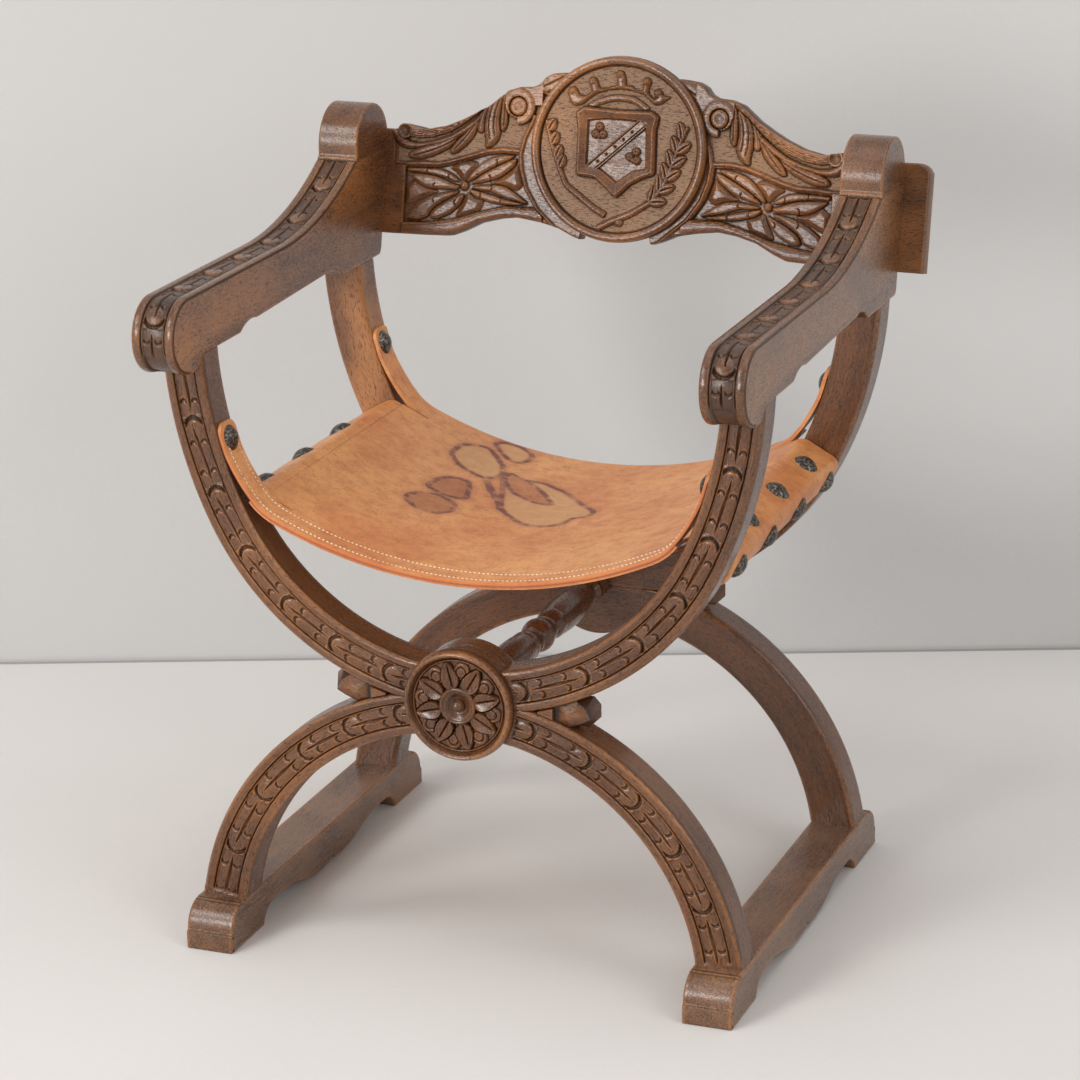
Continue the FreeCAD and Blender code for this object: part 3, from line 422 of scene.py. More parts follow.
def loft(shape, outline, low, high, edge, across=2, axis=0, relief=None, grain=(1, 0, 2), rubbed=1.0):
    """A solid with this outline from low to high along an axis, its edges rounded.

    relief is a function of (along the outline, across) that gives how deep the rim is carved.
    """
    normals = outward(outline)
    steps = np.concatenate([[0], np.cumsum(np.hypot(*np.diff(outline, axis=0).T))])
    stations = [(edge + 2.5, low, 0)] + [(inset, low + back, rubbed) for inset, back in rounding(edge)]
    stations += [(0, x, 0) for x in np.linspace(low + edge, high - edge, across)[1:-1]]
    stations += [(inset, high - back, rubbed) for inset, back in rounding(edge)[::-1]]
    stations.append((edge + 2.5, high, 0))
    rows, worn, depths = [], [], []
    for inset, x, wear in stations:
        depth = np.zeros(len(outline))
        if relief is not None and inset < edge + 1:
            depth = relief(steps, np.full(len(outline), x))
        flat = outline - normals * (inset + depth)[:, None]
        place = np.zeros((len(outline), 3))
        place[:, axis] = x
        place[:, [k for k in range(3) if k != axis]] = flat
        rows.append(place)
        worn.append(np.full(len(outline), float(wear)))
        depths.append(depth)
    # Painted shade: carved recesses are marked to be painted darker, the deeper the cut the darker.
    recess_shade, ridge = hollows(-np.array(depths), 1.0)
    recess_shade = limited(recess_shade + 0.55 * smooth_step(0.2, 1.1, np.array(depths)))
    worn = limited(np.array(worn) * 0.7 + ridge)
    shape.tube(np.array(rows), worn=worn, carved=recess_shade, grain=grain)


def lathe(shape, profile, z, segments=96, grain=(1, 0, 2)):
    """A turned solid about the hub's axis from (y, radius) points."""
    profile = spaced(np.array(profile, float), 1.5)
    angles = np.linspace(0, 2 * math.pi, segments, endpoint=False)
    rings = np.zeros((len(profile), segments, 3))
    rings[..., 0] = np.maximum(profile[:, 1], 0.02)[:, None] * np.cos(angles)
    rings[..., 1] = profile[:, 0][:, None]
    rings[..., 2] = z + np.maximum(profile[:, 1], 0.02)[:, None] * np.sin(angles)
    shape.tube(rings, grain=grain)


# Materials


class Value:
    """One socket of a material, so that shader maths reads as Python."""

    def __init__(self, finish, socket):
        self.finish, self.socket = finish, socket

    def __add__(self, other):
        return self.finish.math("ADD", self, other)

    def __radd__(self, other):
        return self.finish.math("ADD", other, self)

    def __sub__(self, other):
        return self.finish.math("SUBTRACT", self, other)

    def __rsub__(self, other):
        return self.finish.math("SUBTRACT", other, self)

    def __mul__(self, other):
        return self.finish.math("MULTIPLY", self, other)

    def __rmul__(self, other):
        return self.finish.math("MULTIPLY", other, self)

    def __abs__(self):
        return self.finish.math("ABSOLUTE", self)


class Finish:
    """The nodes of one material, ending in a Principled shader."""

    def __init__(self, name, specular=0.5):
        self.material = bpy.data.materials.new(name)
        self.material.use_nodes = True
        self.tree = self.material.node_tree
        self.shader = self.tree.nodes["Principled BSDF"]
        self.shader.inputs["Specular IOR Level"].default_value = specular

    def node(self, kind, values=(), out=0, **settings):
        """Adds any node: its settings come first, then the values or links of its sockets."""
        made = self.tree.nodes.new("ShaderNode" + kind)
        for title, value in settings.items():
            if title == "stops":
                self.set_stops(made, value)
            else:
                setattr(made, title, value)
        for key, value in dict(values).items():
            self.join(value, made.inputs[key])
        return Value(self, made.outputs[out])

    def set_stops(self, made, stops):
        ramp = made.color_ramp.elements
        while len(ramp) > 1:
            ramp.remove(ramp[-1])
        for index, (place, shade) in enumerate(stops):
            element = ramp[0] if index == 0 else ramp.new(place)
            element.position = place
            element.color = (*shade, 1) if len(shade) == 3 else shade

    def join(self, value, socket):
        if isinstance(value, Value):
            self.tree.links.new(value.socket, socket)
        elif socket.type == "RGBA" and len(value) == 3:
            socket.default_value = (*value, 1)
        else:
            socket.default_value = value

    def math(self, operation, first, second=0.0):
        return self.node("Math", {0: first, 1: second}, operation=operation)

    def clamped(self, value):
        return self.node("Clamp", {0: value})

    def band(self, value, low, high):
        """0 below low and 1 above high, soft between them."""
        return self.node("MapRange", {"Value": value, "From Min": low, "From Max": high},
                         interpolation_type="SMOOTHSTEP")

    def mix(self, factor, first, second):
        """One colour laid over another; 6 and 7 are the Mix node's colour sockets."""
        return self.node("Mix", {0: factor, 6: first, 7: second}, out=2, data_type="RGBA")

    def place(self):
        return self.node("TexCoord", out="Object")

    def mark(self, name):
        return self.node("Attribute", out="Fac", attribute_name=name)

    def mark_vector(self, name):
        return self.node("Attribute", out="Vector", attribute_name=name)

    def scaled(self, vector, x, y, z):
        return self.node("VectorMath", {0: vector, 1: (x, y, z)}, operation="MULTIPLY")

    def moved(self, vector, shift, amount):
        """A place shifted by a colour noise, so that a pattern wanders."""
        shift = self.node("VectorMath", {0: shift, 1: (0.5, 0.5, 0.5)}, operation="SUBTRACT")
        shift = self.node("VectorMath", {0: shift, "Scale": amount}, operation="SCALE")
        return self.node("VectorMath", {0: vector, 1: shift}, operation="ADD")

    def noise(self, vector, scale, detail=3.0, roughness=0.5, out=0):
        return self.node("TexNoise", {"Vector": vector, "Scale": scale, "Detail": detail,
                                      "Roughness": roughness}, out=out)

    def cells(self, vector, scale, feature="F1"):
        return self.node("TexVoronoi", {"Vector": vector, "Scale": scale}, feature=feature)

    def bumped(self, height, distance, strength=1.0):
        return self.node("Bump", {"Height": height, "Distance": distance, "Strength": strength})

    def show(self, **links):
        for title, value in links.items():
            self.join(value, self.shader.inputs[title.replace("_", " ").title()])
        return self.material


def carved_wood(name, tones, lengthwise=False, dust=0.0, gloss=0.3, golden=0.0, wax=0.3):
    """Stained brown wood: grain, fine pores, recesses darkened by their stain and by painted shade, punched
    ground and golden rubbed edges.

    The grain follows each piece's own marks, or runs from front to rear where lengthwise is set.
    """
    finish = Finish(name)
    vector = finish.place() if lengthwise else finish.mark_vector("grain")
    streak = (1.0, 0.07, 1.0) if lengthwise else (0.07, 1.0, 1.0)
    wander = finish.noise(vector, 5.0, detail=2.0, out="Color")
    along = finish.moved(vector, wander, 0.02)
    figure = finish.noise(finish.scaled(along, *streak), 60.0, detail=4.0, roughness=0.62)
    fibres = finish.noise(finish.scaled(along, *streak), 520.0, detail=3.0, roughness=0.7)
    short = tuple(0.22 if k < 0.5 else 1.0 for k in streak)
    pores = finish.band(finish.noise(finish.scaled(along, *short), 760.0, detail=1.0), 0.56, 0.68)
    patches = finish.noise(finish.place(), 8.0, detail=3.0)
    speckle = finish.noise(finish.place(), 330.0, detail=2.0, roughness=0.6)

    deeper = tuple(value * 0.5 for value in tones.wood)
    lighter = tuple(min(value * 1.65, 1) for value in tones.wood)
    tone = finish.mix(finish.band(figure, 0.3, 0.66), deeper, tones.wood)
    tone = finish.mix(finish.band(fibres, 0.5, 0.7) * 0.55, tone, lighter)
    tone = finish.mix(finish.band(speckle, 0.52, 0.66) * 0.55, tone, deeper)
    # golden lays more of the rubbed tone over the patches; in the upper rear legs' copy it is partly painted
    # light.
    tone = finish.mix(finish.band(patches, 0.45, 0.75) * (0.2 + golden), tone, tones.wood_worn)
    if dust > 0:
        dusty = finish.band(patches * 0.5 + fibres * 0.5, 0.4, 0.62)
        tone = finish.mix(dusty * dust, tone, tones.wood_dusty)
    worn = finish.clamped(finish.mark("worn") * finish.band(patches + speckle * 0.6, 0.5, 1.0))
    tone = finish.mix(worn * 0.75, tone, tones.wood_worn)
    ground = finish.clamped(finish.mark("punched"))
    tone = finish.mix(ground * 0.6, tone, tones.wood_dusty)
    # Painted shade: the carved recesses are darkened for the shade in them, along with the stain left there.
    deep = finish.clamped(finish.mark("carved"))
    tone = finish.mix(deep * 0.9, tone, tones.wood_dark)
    tone = finish.mix(pores * 0.7, tone, tones.wood_dark)

    punches = finish.cells(finish.place(), 420.0)
    uneven = (fibres - 0.5) * 0.25 + (speckle - 0.5) * 0.3 + (patches - 0.5) * 0.25
    rough = gloss + ground * 0.25 + deep * 0.25 + uneven
    height = fibres * 0.5 - pores * 0.7 + speckle * 0.5 + figure * 0.3
    height = height + punches * ground * 2.6
    return finish.show(base_color=tone, roughness=finish.clamped(rough),
                       coat_weight=finish.clamped(wax - deep * 0.28 - ground * 0.3), coat_roughness=0.22,
                       normal=finish.bumped(height, 0.0006, 0.6))


def tan_leather(name, tones):
    """Vegetable-tanned hide: mottled tan, fine wrinkles, pores, the tide marks of old damp and painted shade
    where its edges lie on their binding.
    """
    finish = Finish(name)
    vector = finish.place()
    cloud = finish.noise(vector, 7.0, detail=4.0, roughness=0.6)
    mottle = finish.noise(vector, 60.0, detail=5.0, roughness=0.7)
    fleck = finish.noise(finish.scaled(vector, 1.0, 1.8, 1.0), 260.0, detail=3.0, roughness=0.7)
    wrinkles = finish.noise(finish.scaled(vector, 0.5, 1.6, 1.0), 170.0, detail=4.0, roughness=0.65)
    grain = finish.cells(vector, 900.0)
    streaks = finish.noise(finish.scaled(vector, 2.0, 7.0, 2.0), 16.0, detail=5.0, roughness=0.72)
    redder = (0.36, 0.085, 0.03)
    tone = finish.mix(finish.band(cloud, 0.36, 0.64), tones.hide, tones.hide_light)
    tone = finish.mix(finish.band(mottle, 0.42, 0.68) * 0.35, tone, redder)
    tone = finish.mix(finish.band(streaks, 0.5, 0.68) * 0.25, tone, redder)
    tone = finish.mix(finish.band(fleck, 0.56, 0.66) * 0.5, tone, tones.hide_stain)
    damp = finish.clamped(finish.mark("punched"))
    tone = finish.mix(damp * 0.6, tone, (0.52, 0.29, 0.12))
    wobble = (finish.noise(vector, 70.0, detail=3.0) - 0.5) * 0.3
    tone = finish.mix(finish.band(finish.mark("tide"), 8.6, 9.9) * (1 - damp) * 0.4, tone, redder)
    tide = 1 - finish.band(abs(finish.mark("tide") - 10.0 + wobble), 0.18, 0.48)
    tone = finish.mix(tide * finish.band(mottle, 0.3, 0.6) * 0.92, tone, tones.hide_stain)
    # The carved mark darkens the stain dart and paints shade along the edges, between the sheet and its
    # binding.
    deep = finish.clamped(finish.mark("carved"))
    tone = finish.mix(deep * 0.85, tone, tones.hide_stain)
    rubbed = finish.clamped(finish.mark("worn"))
    tone = finish.mix(rubbed * 0.7, tone, (0.62, 0.15, 0.03))
    rough = 0.4 + (mottle - 0.5) * 0.35 + deep * 0.2
    height = wrinkles * 0.9 + grain * -0.4 + mottle * 0.4
    return finish.show(base_color=tone, roughness=finish.clamped(rough),
                       normal=finish.bumped(height, 0.0008, 0.65))


def waxed_thread(name, tones):
    finish = Finish(name, specular=0.3)
    twist = finish.noise(finish.place(), 900.0, detail=2.0)
    grime = finish.noise(finish.place(), 30.0)
    tone = finish.mix(finish.band(grime, 0.4, 0.7) * 0.5, tones.thread, tones.hide)
    return finish.show(base_color=tone, roughness=0.6 + twist * 0.2, normal=finish.bumped(twist, 0.0003))


def hammered_iron(name, base, rough, metal):
    """Blackened iron with hammer marks, rubbed bright on its high spots."""
    finish = Finish(name)
    dents = finish.cells(finish.place(), 430.0, feature="SMOOTH_F1")
    pits = finish.noise(finish.place(), 900.0, detail=3.0)
    rust = finish.noise(finish.place(), 70.0, detail=3.0)
    bright = tuple(min(value * 4.5, 1) for value in base)
    tone = finish.mix(finish.band(dents, 0.3, 0.7), base, bright)
    tone = finish.mix(finish.band(rust, 0.55, 0.7) * 0.4, tone, (0.07, 0.035, 0.02))
    return finish.show(base_color=tone, metallic=metal + (rust - 0.5) * 0.1,
                       roughness=finish.clamped(rough + (pits - 0.5) * 0.3),
                       normal=finish.bumped(dents * -1.0 + pits * 0.3, 0.0012, 0.8))


def plaster(name, shade, rough):
    """Plain matt ground for the floor and the wall, clear to an eye that looks at its back."""
    finish = Finish(name, specular=0.15)
    cloud = finish.noise(finish.place(), 1.2, detail=3.0)
    fleck = finish.noise(finish.place(), 160.0, detail=2.0)
    darker = tuple(value * 0.955 for value in shade)
    behind = finish.node("NewGeometry", out="Backfacing") * finish.node("LightPath", out="Is Camera Ray")
    tone = finish.mix(finish.band(cloud * 0.8 + fleck * 0.2, 0.35, 0.65), darker, shade)
    return finish.show(base_color=tone, roughness=rough + (fleck - 0.5) * 0.1, alpha=1 - behind,
                       normal=finish.bumped(fleck, 0.0006, 0.3))


# Legs


def upper_section(angle, offset):
    """(x, z) of the upper leg's curve at an angle from its lowest point."""
    first = np.minimum(angle, UPPER_TURN)
    near = np.stack([(UPPER_RADIUS + offset) * np.sin(first),
                     UPPER_CENTRE - (UPPER_RADIUS + offset) * np.cos(first)], -1)
    far = np.stack([FLARE_X + (FLARE_RADIUS + offset) * np.sin(angle),
                    FLARE_Z - (FLARE_RADIUS + offset) * np.cos(angle)], -1)
    return np.where((angle > UPPER_TURN)[..., None], far, near)


def lower_section(angle, offset):
    """(x, z) of the lower leg's curve, which widens towards the foot."""
    width = 2 * LEG_HALF + FOOT_FLARE * (1 - np.cos(angle))
    radius = LOWER_RADIUS - LEG_HALF + (offset / (2 * LEG_HALF) + 0.5) * width
    return np.stack([radius * np.sin(angle), LOWER_CENTRE + radius * np.cos(angle)], -1)


def root_of(function, low, high):
    """Where a rising function crosses zero, for many columns at once."""
    low, high = np.array(low, float), np.array(high, float)
    for _ in range(40):
        half = (low + high) / 2
        above = function(half) > 0
        high = np.where(above, half, high)
        low = np.where(above, low, half)
    return (low + high) / 2


def tongue_carving(far, across, sizes, crescents, half):
    """Depth of a band of overlapping tongues between two grooves.

    far runs along the band in the direction in which its crescents bulge, and crescents are the places
    of their tips. half is half the width of the piece.
    """
    wide = np.abs(across)
    groove_at = half - sizes.band_width - sizes.groove_width / 2
    groove = limited(1 - np.abs(wide - groove_at) / (sizes.groove_width / 2))
    depth = sizes.groove_depth * groove ** 0.8
    band = limited((wide - groove_at) / (half - groove_at))
    depth += np.where(wide > groove_at, 1.1 * (2 * band - 1) ** 2, 0)
    inner = groove_at - sizes.groove_width / 2
    strip = smooth_step(inner + 0.8, inner - 0.8, wide)
    tips = np.array([2 * crescents[0] - crescents[1], *crescents, 2 * crescents[-1] - crescents[-2]])
    index = np.clip(np.searchsorted(tips, far) - 1, 0, len(tips) - 2)
    pitch = np.diff(tips)[index]
    place = (far - tips[index]) % pitch
    share = place / pitch
    level = 1.7 - 1.3 * smooth_step(0.1, 0.95, share) + 1.2 * (wide / inner) ** 2
    inside = np.zeros(np.broadcast(far, across).shape)
    for apex in (place, place - pitch):
        outer = np.hypot(apex + inner, across)
        core = np.hypot(apex + inner + 2.6, across * 1.08)
        edge = limited((inner + 0.9 - outer) / 1.0) * limited((core - inner + 1.6) / 1.6)
        edge = edge * smooth_step(-inner * 1.3, -inner * 0.6, apex)
        inside = np.maximum(inside, edge * sizes.crescent_depth)
        head = limited(1 - (core / (inner - 1.4)) ** 2)
        level = level - 0.9 * np.sqrt(head) * (apex < 2)
    for spot in (0.24, 0.66):
        along = place - spot * pitch
        outer = np.hypot(along + 3.4, wide - 6.6)
        core = np.hypot(along + 5.8, wide - 6.6)
        edge = limited((4.4 - outer) / 0.8) * limited((core - 2.8) / 1.4)
        inside = np.maximum(inside, edge * sizes.thumb_depth)
    slit_width = 2.1 * limited(np.sin(np.pi * limited((share - 0.08) / 0.76))) ** 0.6
    slit = limited(1 - np.abs(across + 0.8 * np.sin(share * 5)) / np.maximum(slit_width, 0.02))
    inside = np.maximum(inside, slit ** 0.7 * sizes.slit_depth)
    return depth, strip * (level + inside)


def leg_carving(far, across, sizes, crescents, last):
    """Depth of the carving on a leg's front, by the distance from the hub and across the leg."""
    ends = smooth_step(HUB_RADIUS - 2, HUB_RADIUS + 4, far) * smooth_step(0, 5, last - far)
    depth, tongues = tongue_carving(far, across, sizes, crescents, LEG_HALF)
    return ends * (depth + tongues)


def half_disc(shape, up, low, high):
    """The half of a hub that belongs to one leg."""
    angles = np.linspace(0, math.pi, 49) * up
    radius = HUB_RADIUS - 0.1
    rim = np.stack([radius * np.cos(angles), HUB_Z + radius * np.sin(angles)], 1)
    if up > 0:
        rim[:, 1] = np.maximum(rim[:, 1], HUB_Z + HALVING_GAP)
    else:
        rim[:, 1] = np.minimum(rim[:, 1], HUB_Z - HALVING_GAP)
        rim = rim[::-1]
    outline = spaced(rim, 2, closed=True)
    loft(shape, outline, low, high, 0.25, across=5, axis=1, grain=(0, 1, 2), rubbed=0)


def leg_piece(name, upper, side, end, sizes, finish):
    """One curved leg with its half of the hub, carved on the front pair."""
    carved = end == "front"
    edge = sizes.edge_round if carved else sizes.edge_round + 1
    back_edge = 3
    section = upper_section if upper else lower_section
    turn = [(math.sin(a), math.cos(a), math.sin(2 * a)) for a in np.linspace(0, math.pi / 2, 6)]
    flat, back_flat, deep = LEG_HALF - edge, LEG_HALF - back_edge, LEG_DEPTH - back_edge
    ring = [(-flat - edge * c, edge - edge * s, wear, 1) for s, c, wear in turn[:-1]]
    ring += [(w, 0, 0, 1) for w in np.linspace(-flat, flat, 76 if carved else 12)]
    ring += [(flat + edge * s, edge - edge * c, wear, 1) for s, c, wear in turn[1:]]
    ring += [(LEG_HALF, d, 0, 0) for d in np.linspace(edge, deep, 9)[1:-1]]
    ring += [(back_flat + back_edge * c, deep + back_edge * s, wear * 0.7, 0) for s, c, wear in turn[::2]]
    ring += [(w, LEG_DEPTH, 0, 0) for w in np.linspace(back_flat, -back_flat, 8)[1:-1]]
    ring += [(-back_flat - back_edge * s, deep + back_edge * c, wear * 0.7, 0) for s, c, wear in turn[::2]]
    ring += [(-LEG_HALF, d, 0, 0) for d in np.linspace(deep, edge, 9)[1:-1]]
    across, inward, rubbed, faced = np.array(ring).T

    def trimmed(angle):
        spot = section(angle, across)
        if upper:
            spot[..., 1] = np.clip(spot[..., 1], HUB_Z + 0.3, ARM_UNDERSIDE)
        else:
            spot[..., 1] = np.clip(spot[..., 1], RUNNER_TOP, HUB_Z - 0.3)
        return spot

    def past_hub(angle):
        spot = trimmed(angle)
        return np.hypot(spot[..., 0], spot[..., 1] - HUB_Z) - HUB_RADIUS

    def past_end(angle):
        height = section(angle, across)[..., 1]
        return height - ARM_UNDERSIDE if upper else RUNNER_TOP - height

    start = root_of(past_hub, np.full(len(across), 0.02), np.full(len(across), 0.6))
    stop = root_of(past_end, np.full(len(across), 0.9), np.full(len(across), 1.6))
    rows = 430 if carved else 120
    share = np.linspace(0, 1, rows)[:, None]
    angle = start + (stop - start) * share
    spot = trimmed(angle)
    if upper:
        far = np.minimum(angle, UPPER_TURN) * UPPER_RADIUS + np.maximum(angle - UPPER_TURN, 0) * FLARE_RADIUS
        last = UPPER_TURN * UPPER_RADIUS + (1.515 - UPPER_TURN) * FLARE_RADIUS
    else:
        far = angle * LOWER_RADIUS
        last = 1.43 * LOWER_RADIUS
    depth = np.zeros_like(far)
    if carved:
        crescents = CRESCENTS[upper, side]
        depth = leg_carving(far, np.broadcast_to(across, far.shape), sizes, crescents, last) * faced
    front = LEG_FRONT if end == "front" else LEG_FRONT - LEG_DEPTH
    y = (-front if end == "front" else front) + inward + depth
    points = np.stack([side * spot[..., 0], y, spot[..., 1]], -1)
    grain = np.stack([far, np.broadcast_to(across, far.shape), y + 300 * (end == "rear") + 70 * side], -1)
    shape = Shape()
    # Painted shade: the cuts of the carving are marked to be painted darker.
    recess_shade, ridge = hollows(-depth, 1.0, wrap=True)
    rubbed = limited(np.broadcast_to(rubbed, far.shape) * 0.7 + ridge * faced)
    shape.tube(points, worn=rubbed, carved=recess_shade, grain=grain)
    halving = LEG_FRONT - LEG_DEPTH / 2
    if body_of_leg(upper, side) == "frame_a":
        near, past = halving + HALVING_GAP, LEG_FRONT
    else:
        near, past = LEG_FRONT - LEG_DEPTH, halving - HALVING_GAP
    low, high = (near, past) if end == "rear" else (-past, -near)
    half_disc(shape, 1 if upper else -1, low, high)
    wooden(shape, name, finish, body_of_leg(upper, side), sharp=62)


def body_of_leg(upper, side):
    """The frame that carries the left arm also has the lower right legs."""
    return "frame_a" if (side < 0) == upper else "frame_b"


class CHAIR_OT_legs(bpy.types.Operator):
    """Four carved front legs and four plain rear ones, each with its half of a hub"""

    bl_idname = "chair.legs"
    bl_label = "Legs"

    def execute(self, context):
        sizes = in_millimetres(context.scene.chair_carving)
        for end in ENDS:
            for level in ("upper", "lower"):
                for side, sign in SIDES.items():
                    # The upper rear legs take a lighter golden copy of the rear wood: partly their paler
                    # stain, partly painted light where light falls on their inner sides.
                    behind = "golden wood" if level == "upper" else "shaded wood"
                    finish = "leg wood" if end == "front" else behind
                    leg_piece(f"{end}_{level}_{side}_leg", level == "upper", sign, end, sizes, finish)
        return {"FINISHED"}


# Hubs


def rosette_height(radius, angle, sizes):
    """How far the roundel stands out of its back, over its face."""
    ground = 4.6
    turn = ((angle - ROSETTE_TURN) / (2 * math.pi) * 8 + 0.5) % 1 - 0.5
    between = (turn + 1) % 1 - 0.5
    lobe_across = between * radius * 0.785
    lobe_in = 9.4 - np.hypot((radius - 39.5) * 0.92, lobe_across)
    height = ground + crowned(lobe_in, 4.4, 3.0)
    arch = limited(1 - np.abs(np.hypot(radius - 38, lobe_across * 1.1) - 6.0) / 1.2)
    height = height - 2.4 * arch * (lobe_in > 0)
    reach = limited((radius - 18.5) / 31.5)
    half = 10.0 * np.sin(np.pi * reach ** 0.75) ** 0.85 * (reach < 1)
    side = np.abs(turn) * radius * 0.785
    petal_in = half - side
    share = limited(side / np.maximum(half, 0.1))
    swell = (0.5 + 0.5 * share ** 1.4) * limited(petal_in / 0.7)
    petal_height = ground + (sizes.petal_relief + 1.8) * swell
    slit = limited(1 - side / 1.3) * smooth_step(20, 24, radius) * smooth_step(46, 40, radius)
    petal_height = petal_height - 3.2 * slit
    gap = (petal_in <= 0) & (petal_in > -1.2) & (reach > 0) & (reach < 1)
    height = np.where(gap, ground - 1.6, height)
    height = np.where((petal_in > 0) & (radius > 18.5), petal_height, height)
    dish = 4.0 + 4.4 * smooth_step(8, 16.5, radius)
    height = np.where(radius < 16.6, dish, height)
    height = np.where(np.abs(radius - 18.2) < 2.2, 7.4 + 2.6 * rounded_ridge(radius - 18.2, 2.2), height)
    height = np.where(radius < 7.2, 4.0 + 9.4 * rounded_ridge(radius, 7.2), height)
    height = np.where(radius > 48.6, ground - 1.2 + 4.0 * rounded_ridge(radius - 50, 1.3), height)
    lip = 5.6 + 6.0 * smooth_step(51, 55.5, radius)
    outer = 1.2 + 10.8 * rounded_ridge(radius - 56.6, ROSETTE_RADIUS + 0.1 - 56.6)
    lip = np.where(radius > 56.4, outer, lip)
    return np.where(radius > 51.2, lip, height)


class CHAIR_OT_hubs(bpy.types.Operator):
    """The carved roundel in front and the turned cover behind"""

    bl_idname = "chair.hubs"
    bl_label = "Hubs and rod"

    def execute(self, context):
        sizes = in_millimetres(context.scene.chair_carving)
        radius = np.linspace(0.3, ROSETTE_RADIUS, 170)
        angle = np.linspace(0, 2 * math.pi, 384, endpoint=False)
        grid_r, grid_a = np.meshgrid(radius, angle, indexing="ij")
        height = rosette_height(grid_r, grid_a, sizes)
        face = np.stack([grid_r * np.cos(grid_a), -LEG_FRONT - height, HUB_Z + grid_r * np.sin(grid_a)], -1)
        rim = face[-1:].copy()
        rim[..., 1] = -LEG_FRONT
        # Painted shade: the cuts of the roundel are marked to be painted darker.
        recess_shade, ridge = (np.vstack([mark, 0 * mark[-1:]]) for mark in hollows(height, 1.7, wrap=True))
        # The crest of the rim is painted in the rubbed golden tone, for its wear and as a painted highlight
        # along it, and is kept free of painted shade.
        crest = np.append(bump(58, 4, radius), 0)[:, None]
        shape = Shape()
        shape.tube(np.vstack([face, rim]), worn=np.maximum(ridge, crest), carved=recess_shade * (1 - crest),
                   grain=(2, 0, 1))
        wooden(shape, "front_rosette", "rosette wood", "frame_a", sharp=70)

        round_edge = [(7 + 7 * math.sin(a), 51 + 7 * math.cos(a)) for a in np.linspace(0, math.pi / 2, 8)]
        profile = [(0, 0), (0, 58), *round_edge, (12.5, 46), (10.5, 43), (12.5, 40), (13.5, 24), (14, 0)]
        shape = Shape()
        lathe(shape, np.array(profile) + (LEG_FRONT, 0), HUB_Z, segments=128)
        wooden(shape, "rear_hub_cover", "shaded wood", "frame_a", sharp=40)
        return {"FINISHED"}


class CHAIR_OT_wedges(bpy.types.Operator):
    """The diamond-cut stop wedges in the crotches of the frames"""

    bl_idname = "chair.wedges"
    bl_label = "Stop wedges"

    def execute(self, context):
        for end, way in ENDS.items():
            for side, sign in SIDES.items():
                wedge_piece(f"{end}_{side}_stop_wedge", way, sign)
        return {"FINISHED"}


def wedge_piece(name, way, side):
    """A thin wedge that fills the crotch, its outer end cut to a low pyramid."""
    across = np.linspace(85.6, 143, 80)
    gap = 0.25
    upper = UPPER_CENTRE - np.sqrt((UPPER_RADIUS + LEG_HALF + gap) ** 2 - across ** 2)
    outer = LOWER_RADIUS + LEG_HALF + FOOT_FLARE + gap
    lower = LOWER_CENTRE - FOOT_FLARE + np.sqrt(outer ** 2 - across ** 2)
    hind_upper = np.where(across > 130, np.interp(across, (130, 138, 143), (325.8, 326, 318)), upper)
    hind_lower = np.where(across > 122, np.interp(across, (122, 134, 143), (293.5, 291, 304)), lower)
    upper = np.where(across > 128, np.interp(across, (128, 138, 143), (324, 317, 305.6)), upper)
    lower = np.where(across > 120, np.interp(across, (120, 134, 143), (294.4, 300, 304.8)), lower)
    share = np.linspace(0, 1, 41)[:, None]
    z = lower + (upper - lower) * share
    x = np.broadcast_to(across, z.shape)
    near_edge = np.minimum(share, 1 - share) * np.maximum(upper - lower, 0.1)
    pyramid = np.clip(np.minimum(near_edge, across - 107) * 0.5, 0, 5) * (across > 107)
    strip = 5.0 * (across < 103) * limited(near_edge / 0.8)
    height = np.maximum(pyramid, strip)
    front = np.stack([side * x, way * (LEG_FRONT - 6 + height), z], -1)
    back = front.copy()
    back[..., 0] += side * 6 * limited((x - 130) / 13)
    back[..., 1] = way * (LEG_FRONT - 22)
    back[..., 2] = hind_lower + (hind_upper - hind_lower) * share
    # Painted shade: the low parts of the wedge, along the legs and in the groove before its pyramid, are
    # marked to be painted darker.
    worn, carved = 0.3 * smooth_step(3, 6, height), smooth_step(1.0, 0.2, height)
    shape = Shape()
    slab(shape, front, back, worn=worn, carved=carved, grain=(0, 2, 1))
    wooden(shape, name, "shaded wood", "frame_a", sharp=16)


# Arms and feet


def arm_carving(far, across, sizes, total):
    """Depth of the carving from under the post, down the sweep and over the nose."""
    ends = smooth_step(2, 6, far) * smooth_step(0, 8, total - far)
    line = 1.6 * bump(5, 2.0, far)
    crescents = [sizes.tongue_start + sizes.tongue_pitch * index for index in range(8)]
    depth, tongues = tongue_carving(far, across, sizes, crescents, ARM_HALF)
    below = smooth_step(total - 44, total - 54, far)
    wide = np.abs(across)
    nose = 2.2 * smooth_step(13.5, 11.5, wide) + 1.4 * (1 - bump(18.5, 7.5, wide))
    return ends * (depth * (0.1 + 1.0 * below) + tongues * below + (1 - below) * nose) + line


SWEEP_TOP = (184, 786)
NOSE_FOOT = (-250, 646)


def arm_outline():
    """The arm from the side: its underside, the post, the sweep and the scrolled nose."""
    notch = (-LEG_FRONT - 1, ARM_UNDERSIDE)
    steps = [
        (-130, 660), (-88, 667, 50.4, 1), (95.5, 672), (137.5, 660, 42, 1), (242.04, 660),
        (248.04, 672, 16.8, -1), (REST_Y, REST_Z), (229, 839, 45, -1), (184, 794, 45, -1), SWEEP_TOP,
        (-20, 729, 393.6, 1), (-250, 729), (-291.5, 687.5, 41.5, -1), (*NOSE_FOOT, 41.5, -1),
        (*notch, 20.8, -1),
    ]
    return path(notch, steps)


